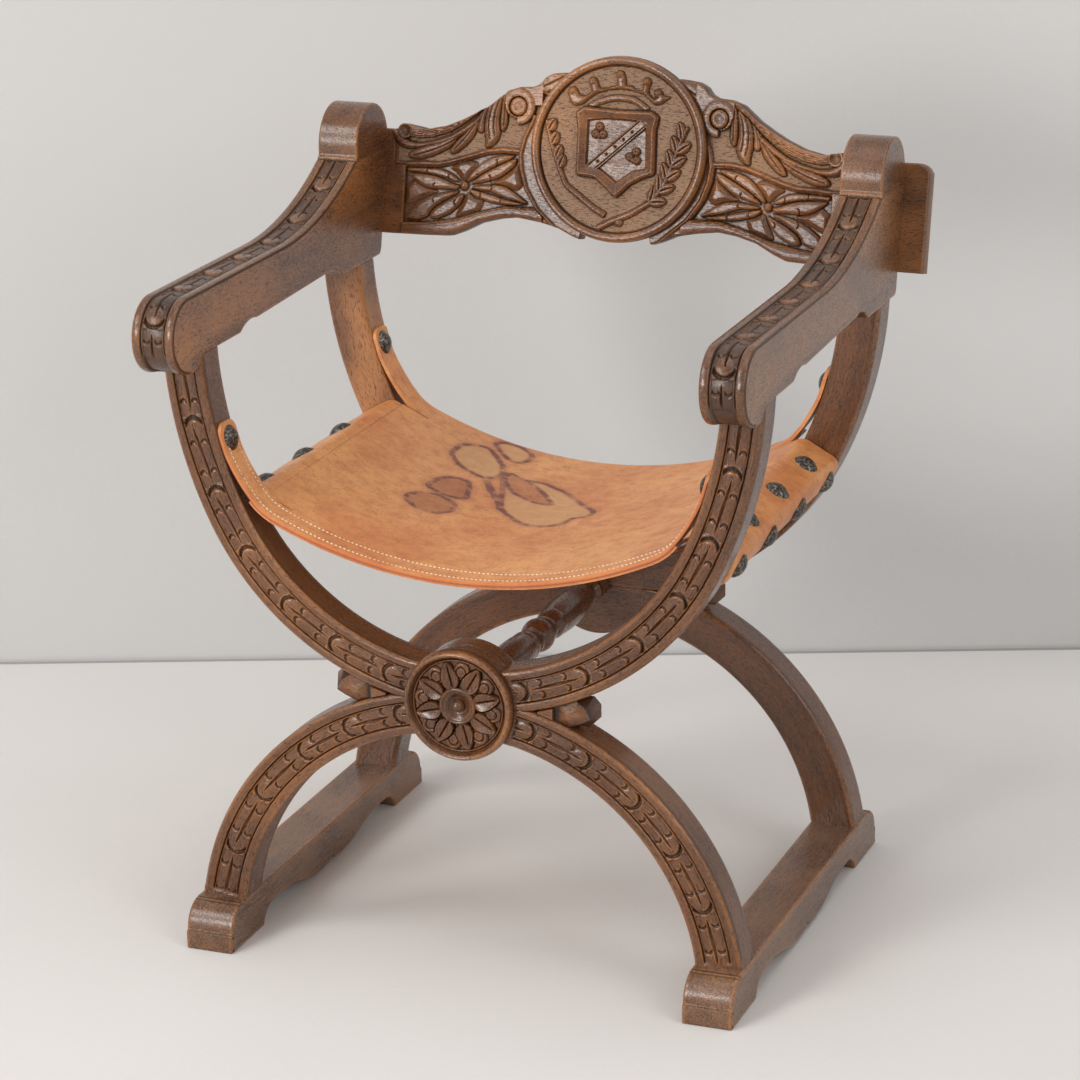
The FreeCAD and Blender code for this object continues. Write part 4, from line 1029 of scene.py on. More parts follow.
class CHAIR_OT_arms(bpy.types.Operator):
    """The two sawn arms with scrolled noses, carved tops and round-topped posts"""

    bl_idname = "chair.arms"
    bl_label = "Arms"

    def execute(self, context):
        sizes = in_millimetres(context.scene.chair_carving)
        outline = softened(spaced(arm_outline(), 1.2, closed=True), 2)
        far = np.concatenate([[0], np.cumsum(np.hypot(*np.diff(outline, axis=0).T))])
        start, stop = (far[np.argmin(np.hypot(*(outline - spot).T))] for spot in (SWEEP_TOP, NOSE_FOOT))
        for side, sign in SIDES.items():
            middle_x = sign * ARM_X

            def relief(along, x):
                depth = arm_carving(along - start, x - middle_x, sizes, stop - start)
                return np.where((along > start) & (along < stop), depth, 0)

            shape = Shape()
            loft(shape, outline, middle_x - ARM_HALF, middle_x + ARM_HALF, sizes.edge_round * 0.55,
                 across=66, relief=relief)
            wooden(shape, f"{side}_arm", "arm wood", FRAME_OF_SIDE[side], sharp=62)
        return {"FINISHED"}


def runner_outline():
    """The foot from the side, with its round shoulders and sawn underside."""
    steps = [
        (-266, 21), (-263, 21), (-234, 50, 29, 1), (234, 50), (263, 21, 29, 1), (266, 21), (266, 0), (184, 0),
        (154, 20, 30, -1), (77, 10.5, 205, -1), (7, 5, 205, 1), (0, 11), (-7, 5), (-77, 10.5, 205, 1),
        (-154, 20, 205, -1), (-184, 0, 30, -1),
    ]
    return path((-266, 0), steps)


class CHAIR_OT_feet(bpy.types.Operator):
    """The two sledge feet with stepped round shoulders and a sawn underside"""

    bl_idname = "chair.feet"
    bl_label = "Foot runners"

    def execute(self, context):
        outline = softened(spaced(runner_outline(), 1.5, closed=True), 1)
        lines = np.zeros(len(outline))
        for y, z in ((237, 49.8), (242, 48.8)):
            for way in ENDS.values():
                lines += 0.9 * bump(0, 1.9, np.hypot(*(outline - (way * y, z)).T))
        for side, sign in SIDES.items():
            middle_x = sign * FOOT_X
            shape = Shape()
            loft(shape, outline, middle_x - RUNNER_HALF, middle_x + RUNNER_HALF, 2.5, across=24,
                 relief=lambda *_: lines)
            wooden(shape, f"{side}_foot_runner", "foot wood", FRAME_OF_FOOT[side])
        return {"FINISHED"}


# Back board and medallion


BOARD_HALF = 359
BOARD_DEPTH = 20.0
BOARD_EDGE = 2.2
# Upper and lower outline of the board, from its middle to its end.
BOARD_TOP = (
    (0, 866), (50, 874), (68, 875), (85, 873), (95, 868), (100, 861), (108, 857), (124, 856), (139, 851),
    (159, 835), (175, 825.5), (191, 817), (213, 808), (237, 803), (247, 805), (268, 808), (274, 801),
    (345, 801), (351, 799.5), (356, 796), (359, 790),
)
BOARD_FOOT = (
    (0, 702), (36, 706), (40.5, 708), (41, 692.5), (52, 696), (70, 704), (92, 708.5), (121, 712),
    (143, 709), (166, 703), (187.5, 692), (203, 686), (230, 685), (274, 684.2), (359, 684),
)


def board_point(x, z, proud):
    """A spot over the board's leaning face, from its width and its height, standing proud of it."""
    up = (z - REST_Z) / math.cos(LEAN)
    origin = REST_Y + 0.3 / math.cos(LEAN)
    y = origin + up * math.sin(LEAN) - proud * math.cos(LEAN)
    return np.stack([x + 0 * y, y, z + proud * math.sin(LEAN)], -1)


# Outline of the sunk panel in each wing.
PANEL = (
    (261, 760), (240, 761.5), (220, 762), (206, 765), (190, 770), (175, 775), (159, 780), (142, 782.5),
    (122, 782), (120, 766), (113, 745), (98, 723), (135, 723), (165, 715), (192, 706), (230, 699),
    (261, 697),
)
# Outline, crown, rounding and the cuts along it, of each leaf over the panel.
LEAVES = (
    (((143, 850), (137, 850), (137, 837), (138, 827), (138, 815), (142, 805), (146, 807), (147, 821),
     (146, 834), (145, 842)), 4.2, 4, (((141, 846), (142, 812)),)),
    (((160, 836), (150, 847), (144, 845), (147, 831), (148, 816), (146, 804), (148, 797), (152, 791),
     (159, 787), (163, 786), (163, 796), (166, 808), (165, 822), (163, 830)), 4.4, 6,
     (((155, 838), (160, 818), (158, 797)), ((149, 840), (154, 819), (152, 801)))),
    (((160, 838), (164, 826), (166, 815), (166, 804), (171, 802), (175, 806), (173, 814), (170, 824),
     (166, 832)), 3.6, 4, ()),
    (((173, 824), (172, 814), (175, 806), (179, 797), (187, 788), (195, 781), (202, 777), (207, 778),
     (205, 784), (199, 792), (189, 801), (181, 810)), 4.4, 5, (((177, 811), (189, 795), (201, 782)),)),
    (((186, 806), (199, 795), (200, 791), (205, 785), (216, 779), (229, 773), (242, 769), (253, 769),
     (258, 771), (255, 777), (244, 782), (230, 786), (215, 791), (200, 800)), 4.2, 5,
     (((201, 793), (225, 781), (251, 773)),)),
    (((277, 802), (270, 799), (264, 792), (256, 788), (243, 787), (225, 791), (206, 798), (190, 808),
     (174, 820), (168, 829), (170, 817), (177, 810), (188, 801), (201, 794), (215, 788), (234, 784),
     (247, 781), (257, 780), (267, 782), (274, 789), (279, 797)), 5.0, 4.5, ()),
    (((66, 868), (74, 876), (90, 876), (99, 870), (105, 860), (98, 850), (84, 846), (66, 850)), 4.6, 8,
     (((72, 870), (96, 858)), ((70, 862), (90, 852)))),
)
# Outline, crown and rounding of each facet and half petal of the flower in the sunk panel.
PETALS = (
    (((259, 759), (233, 759.5), (220, 760), (210, 758), (201, 754), (191, 747), (200, 747), (212, 750.5),
     (223, 752.5), (245, 755), (258, 754)), 4.2, 3.4),
    (((257, 753), (234, 752.5), (223, 751.5), (212, 748.5), (201, 744.5), (191, 742), (196, 737.5),
     (211, 737.5), (222, 737), (233, 738), (241, 741), (249, 746), (256, 751)), 5.0, 5.5),
    (((259, 739), (249, 747), (238, 740), (218, 734.5), (232, 728), (241, 724), (248, 720), (259, 718)),
     2.6, 12),
    (((192, 737), (204, 735), (215, 733), (224, 730), (238, 723), (249, 715), (257, 702), (242, 701),
     (229, 706), (228, 711), (221, 718), (213, 723.5), (204, 728.5), (194, 734)), 4.6, 5.5),
    (((191, 733), (204, 726.5), (213, 721.5), (222, 715.5), (227, 709.5), (228, 704), (220, 703),
     (212, 706), (202, 711), (194, 718), (189, 725), (186, 733)), 4.8, 5.5),
    (((185, 733), (189, 723), (197, 709), (192, 707), (180, 710), (168, 714), (164, 722), (162, 730),
     (171, 731), (179, 734), (182, 737)), 3.0, 11),
    (((181, 740), (167, 737.5), (151, 734.5), (140, 731.5), (125, 729), (109, 727), (128, 724.5),
     (142, 725), (155, 726.5), (164, 729), (172, 731), (179, 736)), 4.8, 4.2),
    (((180, 741.5), (167, 744.5), (156, 745.5), (148, 746), (137, 745), (125, 739), (117, 734),
     (107, 727.5), (124, 730), (134, 732), (145, 735.5), (154, 738.5), (167, 739)), 4.2, 4.2),
    (((154, 748), (146, 752), (135, 760), (124, 771), (120, 760), (116, 747), (124, 741), (134, 745)),
     2.8, 10),
    (((185, 748), (179, 758), (173, 764), (167, 770), (158, 775), (149, 778), (137, 780), (126, 780),
     (133, 775), (144, 770), (152, 765.5), (163, 759.5), (173, 752.5), (182, 747)), 4.4, 4.5),
    (((180, 745), (167, 747), (157, 750), (150, 752), (141, 757), (133, 763), (126, 769), (124, 777),
     (133, 774), (144, 768.5), (152, 764.5), (163, 758.5), (173, 751.5)), 5.0, 5),
    (((189, 748), (197, 757), (206, 762), (196, 769), (184, 772), (174, 770), (171, 765), (179, 757),
     (185, 749)), 3.0, 10),
)
FLOWER = (187, 743)
# Place and turn of the small thumbnail cuts on the petals.
NICKS = (
    (233, 757, 1), (206, 752, 1), (224, 740, 1), (224, 726, 1), (197, 724, 1), (166, 734, -1),
    (141, 729, -1), (153, 743, -1), (171, 754, -1), (148, 771, -1), (155, 753, -1),
)
# Lower edge of the rolled rim.
RIM_LOW = (
    (0, 853), (138, 853), (145, 846), (158, 838), (174, 823), (190, 811.5), (206, 801.5), (228, 794),
    (247, 792), (260, 795), (268, 800), (290, 801),
)


def curve_through(points):
    """A smooth line through a start, a middle and an end."""
    start, halfway, end = (np.array(point, float) for point in points)
    bend = 2 * halfway - (start + end) / 2
    t = np.linspace(0, 1, 16)[:, None]
    return (1 - t) ** 2 * start + 2 * t * (1 - t) * bend + t ** 2 * end


def beside(x, z, line):
    """How far along a line (0 to 1) and how far to its side each point lies."""
    best = np.full(x.shape, 1e9)
    along, side = np.zeros(x.shape), np.zeros(x.shape)
    steps = np.diff(line, axis=0)
    sizes = np.hypot(*steps.T)
    far = np.concatenate([[0], np.cumsum(sizes)])
    for index, (step, size) in enumerate(zip(steps, sizes)):
        dx, dz = x - line[index, 0], z - line[index, 1]
        t = limited((dx * step[0] + dz * step[1]) / size ** 2)
        off_x, off_z = dx - t * step[0], dz - t * step[1]
        near = np.hypot(off_x, off_z)
        closer = near < best
        turn = np.sign(step[0] * dz - step[1] * dx)
        best = np.where(closer, near, best)
        side = np.where(closer, near * turn, side)
        along = np.where(closer, (far[index] + t * size) / far[-1], along)
    return along, side


def petal(x, z, line, half_width, height):
    """(height, where, side) of a leaf along a line: two rounded halves on either side of its midrib."""
    along, side = beside(x, z, curve_through(line))
    width = half_width * limited(np.sin(np.pi * limited(along) ** 0.8)) ** 0.62 + 0.05
    share = limited(np.abs(side) / width)
    body = np.sqrt(limited(1 - (2 * share - 1) ** 2)) * 0.65 + 0.35 * (1 - share)
    return height * body, (np.abs(side) < width) & (along > 0) & (along < 1), side


def inside_of(x, z, corners):
    """How far inside an outline each point lies, negative outside it."""
    near = np.full(x.shape, 1e9)
    crossings = np.zeros(x.shape, bool)
    for start, end in zip(corners, np.roll(corners, -1, 0)):
        step = end - start
        t = limited(((x - start[0]) * step[0] + (z - start[1]) * step[1]) / (step @ step))
        near = np.minimum(near, np.hypot(x - start[0] - t * step[0], z - start[1] - t * step[1]))
        spans = (start[1] > z) != (end[1] > z)
        rise = step[1] if step[1] else 1e-9
        crossings ^= spans & (x < (z - start[1]) * step[0] / rise + start[0])
    return np.where(crossings, near, -near)


def depth_in(x, z, outline, smooth=2):
    """How far inside a smoothed outline each point lies, and -9 well outside it."""
    outline = softened(spaced(np.array(outline, float), 2.0, closed=True), smooth)
    low, high = outline.min(0) - 3, outline.max(0) + 3
    near = (x > low[0]) & (x < high[0]) & (z > low[1]) & (z < high[1])
    deep = np.full(x.shape, -9.0)
    deep[near] = inside_of(x[near], z[near], outline)
    return deep


def crowned(deep, crown, soft):
    """Height of a rounded island of carving, by how far inside its outline a point lies."""
    share = limited(deep / soft)
    return crown * np.sqrt(1 - (1 - share) ** 2)


def rounded_ridge(distance, half_width):
    return np.sqrt(limited(1 - (distance / half_width) ** 2))


def profile_at(wide, profile):
    """Height of the board's top or foot at a width, its corners eased."""
    table = np.arange(-8, 372, 0.5)
    heights = np.interp(np.abs(table), *np.array(profile).T)
    heights = np.convolve(np.pad(heights, 4, mode="edge"), np.full(9, 1 / 9), mode="valid")
    return np.interp(wide, table, heights)


def board_relief(x, z, sizes):
    """(height over the board's face, share of punched ground) of the carving."""
    wide = np.abs(x - CARVING_SHIFT) - CARVING_SHIFT
    top = profile_at(np.abs(x), BOARD_TOP)
    foot = profile_at(np.abs(x), BOARD_FOOT)
    panel_in = depth_in(wide, z, PANEL, smooth=1)
    above = np.interp(wide, *np.array(PANEL[:9][::-1]).T)

    # ground under the leaves with the raised line over the panel
    ground = (z > above) & (wide < 275) & (wide > 60)
    height = np.where(ground, -1.8, 0)
    punched = np.where(ground, 1.0, 0)
    line = bump(0, 3.6, z - above - 3.2) * (wide > 121) * (wide < 272)
    height += 3.4 * line
    punched = np.where(line > 0.1, 0, punched)

    # leaves
    relief = sizes.leaf_relief / 7
    for outline, crown, soft, cuts in LEAVES:
        deep = depth_in(wide, z, outline)
        leaf = -1.4 + crown * relief * crowned(deep, 1, soft)
        for cut in cuts:
            cut = np.array(cut, float)
            cut = curve_through(cut) if len(cut) == 3 else cut
            leaf -= 1.7 * bump(0, 1.3, beside(wide, z, cut)[1])
        height = np.where(deep > 0, np.maximum(leaf, np.where(punched > 0, -9, height)), height)
        height = np.where((deep <= 0) & (deep > -1.6) & (punched > 0), -2.8, height)
        punched = np.where(deep > -0.2, 0, punched)

    # the rolled rim with its flutes and the curl at its end
    rim_low = np.interp(wide, *np.array(RIM_LOW).T)
    down = limited((top - z) / np.maximum(top - rim_low, 1))
    rim = (wide > 139) & (wide < 266) & (z > rim_low)
    flutes = np.sqrt(np.abs(np.sin(np.pi * down * 5)))
    fluted = 0.4 + 1.3 * flutes + 3.4 * np.sqrt(np.sin(np.pi * limited(down)) + 0.01)
    fluted *= smooth_step(136, 152, wide)
    height = np.where(rim, fluted, height)
    height = np.where((np.abs(z - rim_low + 0.5) < 0.9) & (wide > 150) & (wide < 262), -1.6, height)
    punched = np.where(rim, 0, punched)
    curl = np.hypot(wide - 262, z - 800)
    height = np.where(curl < 8.6, 3.6 - 3.4 * rounded_ridge(curl, 6.4), height)
    punched = np.where((curl < 11) | (wide > 270), 0, punched)

    # the volute beside the medallion
    ring_z = z - 834.5
    ring = np.hypot(wide - 125, ring_z)
    reach = 15.2 + 2.4 * ring_z / np.maximum(ring, 1)
    band = (ring < reach) | ((wide < 141) & (wide > 96) & (ring_z > 2)) | ((wide < 125) & (ring < 20))
    height = np.where(band, 3.0 + 1.6 * rounded_ridge(ring - 15, 5), height)
    height = np.where(ring <= 11.5, -2.2, height)
    height = np.where(ring < 10.2, 1.4 + 2.8 * crowned(10.2 - ring, 1, 3.2) - 0.8 * bump(0, 7, ring), height)
    punched = np.where(band, 0, punched)

    # the flower that fills the sunk panel
    sunk = -sizes.ground_depth - 1.2 + 0 * x
    for outline, crown, soft in PETALS:
        deep = depth_in(wide, z, outline)
        facet = soft > 9
        swell = np.minimum(deep * 0.62, 3.4) if facet else 1.0 + crowned(deep, crown - 0.8, soft * 0.75)
        sunk = np.where(deep > 0, np.maximum(sunk, -sizes.ground_depth + swell), sunk)
    for place_x, place_z, way in NICKS:
        dx = (wide - place_x) * way
        near = np.hypot(dx + 3.0, z - place_z)
        nick = limited(1 - np.abs(near - 3.6) / 0.75) * (dx > -1.8)
        sunk -= 2.2 * nick
    button = np.hypot(wide - FLOWER[0], z - FLOWER[1])
    sunk = np.where(button < 5.8, -sizes.ground_depth - 0.8, sunk)
    sunk = np.where(button < 4.6, -sizes.ground_depth + 4.6 * rounded_ridge(button, 4.8), sunk)
    height = np.where(panel_in > 0, sunk * (1 - smooth_step(1.0, 0, panel_in)), height)
    punched = np.where(panel_in > 0, 0, punched)

    # the moulded foot, the band beside the medallion and the plain ends
    panel_foot = np.interp(wide, *np.array(PANEL[11:]).T)
    low = limited((z - foot) / np.maximum(panel_foot - foot, 1))
    moulded = (z < panel_foot + 0.4) & (wide > 88) & (wide < 262)
    swell = 0.6 + 3.0 * np.sqrt(limited(1 - (2 * low - 1) ** 2)) + 1.4 * bump(0.9, 0.09, low)
    height = np.where(moulded, swell, height)
    inner_x = np.interp(z, (690, 723, 745, 766, 782, 800, 822), (58, 98, 113, 120, 122, 118, 108))
    beside_it = (wide < inner_x) & (z < 826)
    height = np.where(beside_it, 1.2 + 2.4 * bump(3.2, 3.0, inner_x - wide), height)
    punched = np.where(beside_it | moulded, 0, punched)
    plain = smooth_step(259.5, 261, wide) * (z < above + 3) + (wide > 279) * (z >= above + 3)
    return height * (1 - plain), punched * (wide < 272)


class CHAIR_OT_board(bpy.types.Operator):
    """The carved back board with its wings, sunk panels and moulded foot"""

    bl_idname = "chair.board"
    bl_label = "Back board"

    def execute(self, context):
        sizes = in_millimetres(context.scene.chair_carving)
        x = np.linspace(0.1 - BOARD_HALF, BOARD_HALF - 0.1, 901)
        top = profile_at(np.abs(x), BOARD_TOP)
        foot = profile_at(np.abs(x), BOARD_FOOT)
        share = np.linspace(0, 1, 176)[:, None]
        z = foot + (top - foot) * share
        wide = np.broadcast_to(x, z.shape)
        height, punched = board_relief(wide, z, sizes)
        inset = np.minimum(np.minimum(z - foot, top - z), BOARD_HALF - np.abs(wide))
        height = height - BOARD_EDGE + crowned(inset, BOARD_EDGE, BOARD_EDGE)
        front = board_point(wide, z, height)
        back = board_point(wide, z, np.full(z.shape, -BOARD_DEPTH))
        # Painted shade: the recesses of the board's carving are marked to be painted darker.
        recess_shade, ridge = hollows(height, 1.7)
        shape = Shape()
        slab(shape, front, back, worn=ridge, carved=recess_shade, punched=punched, grain=(0, 2, 1))
        wooden(shape, "back_board", "board wood", "backrest")
        return {"FINISHED"}


MEDALLION_RADIUS = 104.4
MEDALLION_RIM = 99.6
MEDALLION_UP = 10.4
SHIELD_MIDDLE = (-2, 2.6)
# Outlines of the crown and the shield, from the shield's middle, and the tips of the crown's waves.
CROWN = (
    (-63, 59), (-58, 48), (-53, 43), (-43, 46), (-37, 52), (-27, 59), (-14, 63), (-1, 65), (14, 64),
    (29, 60), (42, 49), (50, 51), (61, 60), (53, 59), (47, 65), (43, 65), (45, 58), (40, 56), (33, 62),
    (35, 73), (31, 78), (26, 76), (27, 65), (21, 63), (14, 68), (6, 69), (5, 80), (-1, 85), (-6, 81),
    (-3, 69), (-18, 64), (-25, 64), (-28, 73), (-33, 75), (-37, 71), (-33, 60), (-42, 54), (-48, 55),
    (-51, 61), (-57, 63),
)
CROWN_FOOT = ((-36, 42), (-25, 49), (-9, 54), (0, 55), (15, 54), (24, 50), (34, 43))
CROWN_TIPS = ((-56, 59), (-33, 71), (-1, 80), (31, 74), (45, 62))
SHIELD = (
    (-50, 36), (-41, 43), (0, 41), (39, 42), (48, 36), (45, 21), (47, -28), (33, -33), (19, -41),
    (3, -57), (-10, -46), (-23, -36), (-46, -34), (-47, 18),
)
SHIELD_FIELD = (
    (-37, 29), (-16, 32), (5, 32), (27, 31), (34, 26), (37, -23), (21, -27), (2, -41), (-18, -27),
    (-36, -23),
)
# Line, place of the first leaf, count, turns, length and half width of the leaves of each sprig.
SPRIGS = (
    (((-16, -92), (-2, -84), (21, -74), (46, -58), (59, -38), (67, -16), (76, 12), (83, 27)), 0.44, 6,
     (-0.65, 0.65), 20, 6.2),
    (((-9, -77), (-23, -70), (-39, -59), (-58, -46), (-68, -25), (-77, -3), (-82, 13), (-85, 25)), 0.62,
     4, (-0.8,), 15, 6.4),
)


def trefoil(a, b, x, z, turn):
    """Three round leaves on a short stalk."""
    rise = np.zeros(a.shape)
    for angle in (0, 2.15, -2.15):
        lobe = np.hypot(a - x - 5.4 * math.sin(angle + turn), b - z - 5.4 * math.cos(angle + turn))
        rise = np.maximum(rise, rounded_ridge(lobe, 5.2) - 0.35 * bump(0, 1.8, lobe))
    stalk = np.hypot((a - x) + 4 * math.sin(turn), (b - z) + 5 * math.cos(turn))
    return np.maximum(rise, 0.8 * rounded_ridge(stalk, 3.4))


def medallion_relief(a, b):
    """(height over the board's face, share of punched ground) of the round medallion."""
    radius = np.hypot(a, b)
    a, b = a - SHIELD_MIDDLE[0], b - SHIELD_MIDDLE[1]
    ground = 5.4 + 1.8 * (radius / 92) ** 2
    rise = np.zeros(a.shape)

    # two sprigs of laurel that cross below the shield, and the bud between them
    for line, first, count, turns, long, half_width in SPRIGS:
        line = spaced(np.array(line, float), 4)
        line[1:-1] = (line[:-2] + line[1:-1] * 2 + line[2:]) / 4
        along, side = beside(a, b, line)
        stalk = np.interp(along, (0, 0.3, 1), (3.6, 3.4, 1.8))
        rise = np.maximum(rise, 4.4 * rounded_ridge(side, stalk) * (along > 0) * (along < 1))
        for share in np.linspace(first, 0.94, count):
            at = int(share * (len(line) - 2))
            ahead = (line[at + 1] - line[at]) / np.hypot(*(line[at + 1] - line[at]))
            for turn in turns:
                out = np.array([ahead[0] * math.cos(turn) - ahead[1] * math.sin(turn),
                                ahead[0] * math.sin(turn) + ahead[1] * math.cos(turn)])
                tip = line[at] + out * long
                if np.hypot(*tip) < 95:
                    bend_at = (line[at] + tip) / 2 + ahead * 1.4
                    leaf, within, across = petal(a, b, (line[at], bend_at, tip), half_width, 4.6)
                    rise = np.maximum(rise, np.where(within, leaf + 0.9 - 1.6 * bump(0, 0.8, across), 0))
    rise = np.maximum(rise, 4.4 * rounded_ridge(np.hypot(a - 8, b + 84), 5.0))

    # crown: thick waves that end in beads, over an arched band
    along, side = beside(a, b, np.array(CROWN_FOOT, float))
    rise = np.maximum(rise, 4.4 * rounded_ridge(side, 3.4) ** 0.5 * (along > 0) * (along < 1))
    rise = np.maximum(rise, 5.6 * crowned(depth_in(a, b, CROWN, smooth=1), 1, 3.4))
    for x, z in CROWN_TIPS:
        rise = np.maximum(rise, 7.2 * rounded_ridge(np.hypot(a - x, b - z), 5.0))

    # shield with its bevelled frame, bar and trefoils
    frame_in = depth_in(a, b, SHIELD, smooth=1)
    field_in = depth_in(a, b, SHIELD_FIELD, smooth=0)
    shield = 7.6 * np.sqrt(1 - (1 - limited(frame_in / 3.0)) ** 2) - 0.42 * np.clip(frame_in - 3, 0, 9)
    bar = a * 0.671 - b * 0.741 + 1.1
    step = a * 0.741 + b * 0.671
    field = -0.8 + 2.0 * bump(0, 40, np.hypot(a, b - 2))
    raised = limited((6.6 - np.abs(bar)) / 0.8)
    sunk_line = limited(1 - np.abs(np.abs(bar) - 4.0) / 0.8)
    field = np.maximum(field, raised * 4.6 - 2.0 * sunk_line)
    for dot in (-27, -14, -1, 12, 25):
        field = field - 2.4 * bump(0, 2.0, np.hypot(bar, step - dot))
    field = np.maximum(field, 5.2 * trefoil(a, b, -22, 16, 0.0) - 0.4)
    field = np.maximum(field, 5.2 * trefoil(a, b, 21, -9, 0.4) - 0.4)
    wall = limited(1 - field_in / 1.5)
    shield = np.where(field_in > 0, np.minimum(field, 5.0) * (1 - wall) + 4.8 * wall, shield)
    height = np.where(frame_in > 0, ground + np.maximum(shield, -1.4), ground + rise)
    height = np.where((frame_in > -1.8) & (frame_in <= 0), np.minimum(height, ground - 0.9), height)
    edge = (rise < 0.4) & (blurred(rise, 3, wrap=True) > 0.25)
    height = np.where(edge & (frame_in < -1.8), height - 0.7, height)

    # rounded rim with a fine line inside it
    past_rim = radius - MEDALLION_RIM
    height = np.where(past_rim > -5.0, 7.6 + 6.2 * np.sqrt(rounded_ridge(past_rim, 5.0)), height)
    height = np.where((past_rim > -6.6) & (past_rim <= -4.9), 5.8, height)
    fall = np.sqrt(limited(1 - np.maximum(past_rim / 4.8, 0) ** 2.6))
    height = np.where(past_rim > 0, 6.4 + 7.4 * fall, height)
    punched = (rise < 0.3) & (frame_in < -0.5) & (radius < 92.5)
    return height, punched.astype(float)


class CHAIR_OT_medallion(bpy.types.Operator):
    """The round medallion in the middle of the back board"""

    bl_idname = "chair.medallion"
    bl_label = "Medallion"

    def execute(self, context):
        radius = np.linspace(0.3, MEDALLION_RADIUS, 170)
        angle = np.linspace(0, 2 * math.pi, 720, endpoint=False)
        grid_r, grid_a = np.meshgrid(radius, angle, indexing="ij")
        across, up = grid_r * np.sin(grid_a), grid_r * np.cos(grid_a)
        height, punched = medallion_relief(across, up)
        # Painted shade: the recesses of the medallion are marked to be painted darker.
        recess_shade, ridge = hollows(height, 1.4, wrap=True)
        z = (up + MEDALLION_UP) * math.cos(LEAN) + REST_Z
        front = board_point(across, z, height)
        back = board_point(across[-1:], z[-1:], 0 * z[-1:])
        worn, carved, punched = (np.vstack([mark, mark[-1:] * 0]) for mark in (ridge, recess_shade, punched))
        shape = Shape()
        shape.tube(np.vstack([front, back]), worn=worn, carved=carved, punched=punched, grain=(0, 2, 1))
        wooden(shape, "medallion", "board wood", "backrest", sharp=70)
        return {"FINISHED"}


# Leather


RAIL_TILT = math.radians(27.4)
WRAP_HALF_WIDTH, WRAP_HALF_DEPTH = 25.6, 19.1
SLING_X, CREST_Z = 244.9, 507.1
SLING_SAG = 65
SLING_RADIUS = (SLING_X ** 2 + SLING_SAG ** 2) / (2 * SLING_SAG)
SLING_LOW = CREST_Z - SLING_SAG
SHEET_END = 234.0
SHEET_HALF = 222
TAB_TURN_X = 204.0
TAB_INNER = 186
TAB_CORNER = 13
TAB_SLIT = 185
STITCH_ROWS = (-214.5, -193.5)
WRAP_END = 183.7
LEG_INSIDE = -27.3
TAB_NAIL = (204, 567)
NAIL_PITCH = 0.277 * 368


def rail_spot(side, across, up):
    """(x, z) of a spot of the tilted rail's section."""
    x = (UPPER_RADIUS + across) * math.cos(RAIL_TILT) + up * math.sin(RAIL_TILT)
    z = UPPER_CENTRE - (UPPER_RADIUS + across) * math.sin(RAIL_TILT) + up * math.cos(RAIL_TILT)
    return side * x, z


def sheet_spot(x, depth=0.0):
    """(x, z) on the sagging sheet, or under it."""
    angle = np.arcsin(np.clip(x / SLING_RADIUS, -1, 1))
    radius = SLING_RADIUS + depth
    return radius * np.sin(angle), SLING_LOW + SLING_RADIUS - radius * np.cos(angle)


def tab_x(height):
    """How far out the tabs lie against the insides of the legs."""
    return FLARE_X + np.sqrt((FLARE_RADIUS + LEG_INSIDE) ** 2 - (height - FLARE_Z) ** 2)


def filleted(points, radii, count=8):
    """A closed polygon with each corner rounded to its radius."""
    points = np.array(points, float)
    line = []
    for index, radius in enumerate(radii):
        here = points[index]
        before, after = points[index - 1], points[(index + 1) % len(points)]
        first, second = before - here, after - here
        first, second = first / np.hypot(*first), second / np.hypot(*second)
        if radius == 0:
            line.append(here)
            continue
        half = math.acos(np.clip(first @ second, -1, 1)) / 2
        reach = radius / math.tan(half)
        centre = here + (first + second) / np.hypot(*(first + second)) * radius / math.sin(half)
        start, end = here + first * reach - centre, here + second * reach - centre
        turn = math.acos(np.clip(start @ end / radius ** 2, -1, 1))
        for t in np.linspace(0, 1, count):
            spot = start * math.sin((1 - t) * turn) + end * math.sin(t * turn)
            line.append(centre + spot / math.sin(turn))
    return np.array(line)


# Outlines of the old damp marks on the seat, seen from above with the front at the bottom.
STAINS = (
    ((-144, -30), (-134, -1), (-114, 7), (-91, -5), (-89, -30), (-99, -45), (-122, -49)),
    ((-137, 16), (-135, 52), (-122, 69), (-106, 70), (-89, 17), (-106, 11)),
    ((-153, 126), (-154, 162), (-141, 178), (-126, 182), (-95, 143), (-86, 112), (-96, 91), (-130, 102)),
    ((-129, 200), (-123, 214), (-100, 216), (-81, 201), (-80, 171), (-93, 162), (-115, 184)),
    ((-48, 14), (-76, 94), (-84, 109), (-84, 131), (-62, 117), (-38, 122), (-3, 100), (35, 56), (55, 36),
     (53, 15), (39, 15), (34, -12), (17, -25), (-9, -23)),
)
STAIN_DART = ((-81, 106), (-83, 137), (-60, 124), (-27, 90), (1, 51), (-26, 53), (-56, 72))
STAIN_STEM = ((-96, 91), (-79, 64), (-55, 30), (-48, 14))


def damp_marks(x, y):
    """(place against the nearest tide line, paler share, redder share) over the seat."""
    inside = np.full(x.shape, -60.0)
    darker = np.zeros(x.shape)
    for index, outline in enumerate(STAINS):
        outline = softened(spaced(np.array(outline, float), 3.0, closed=True), 9)
        deep = inside_of(x, y, outline)
        inside = np.maximum(inside, deep)
        if index < 2:
            darker = np.maximum(darker, smooth_step(0, 5, deep))
    inside = np.maximum(inside, 1.2 - np.abs(beside(x, y, np.array(STAIN_STEM, float))[1]))
    dart = inside_of(x, y, softened(spaced(np.array(STAIN_DART, float), 3.0, closed=True), 8))
    paler = smooth_step(1, 7, inside) * smooth_step(1, -4, dart) * (1 - darker)
    inside = np.where(inside > 0, np.minimum(inside, -dart), inside)
    return 10 + np.clip(inside, -30, 30) / 10, paler, np.maximum(smooth_step(0, 8, dart), darker)


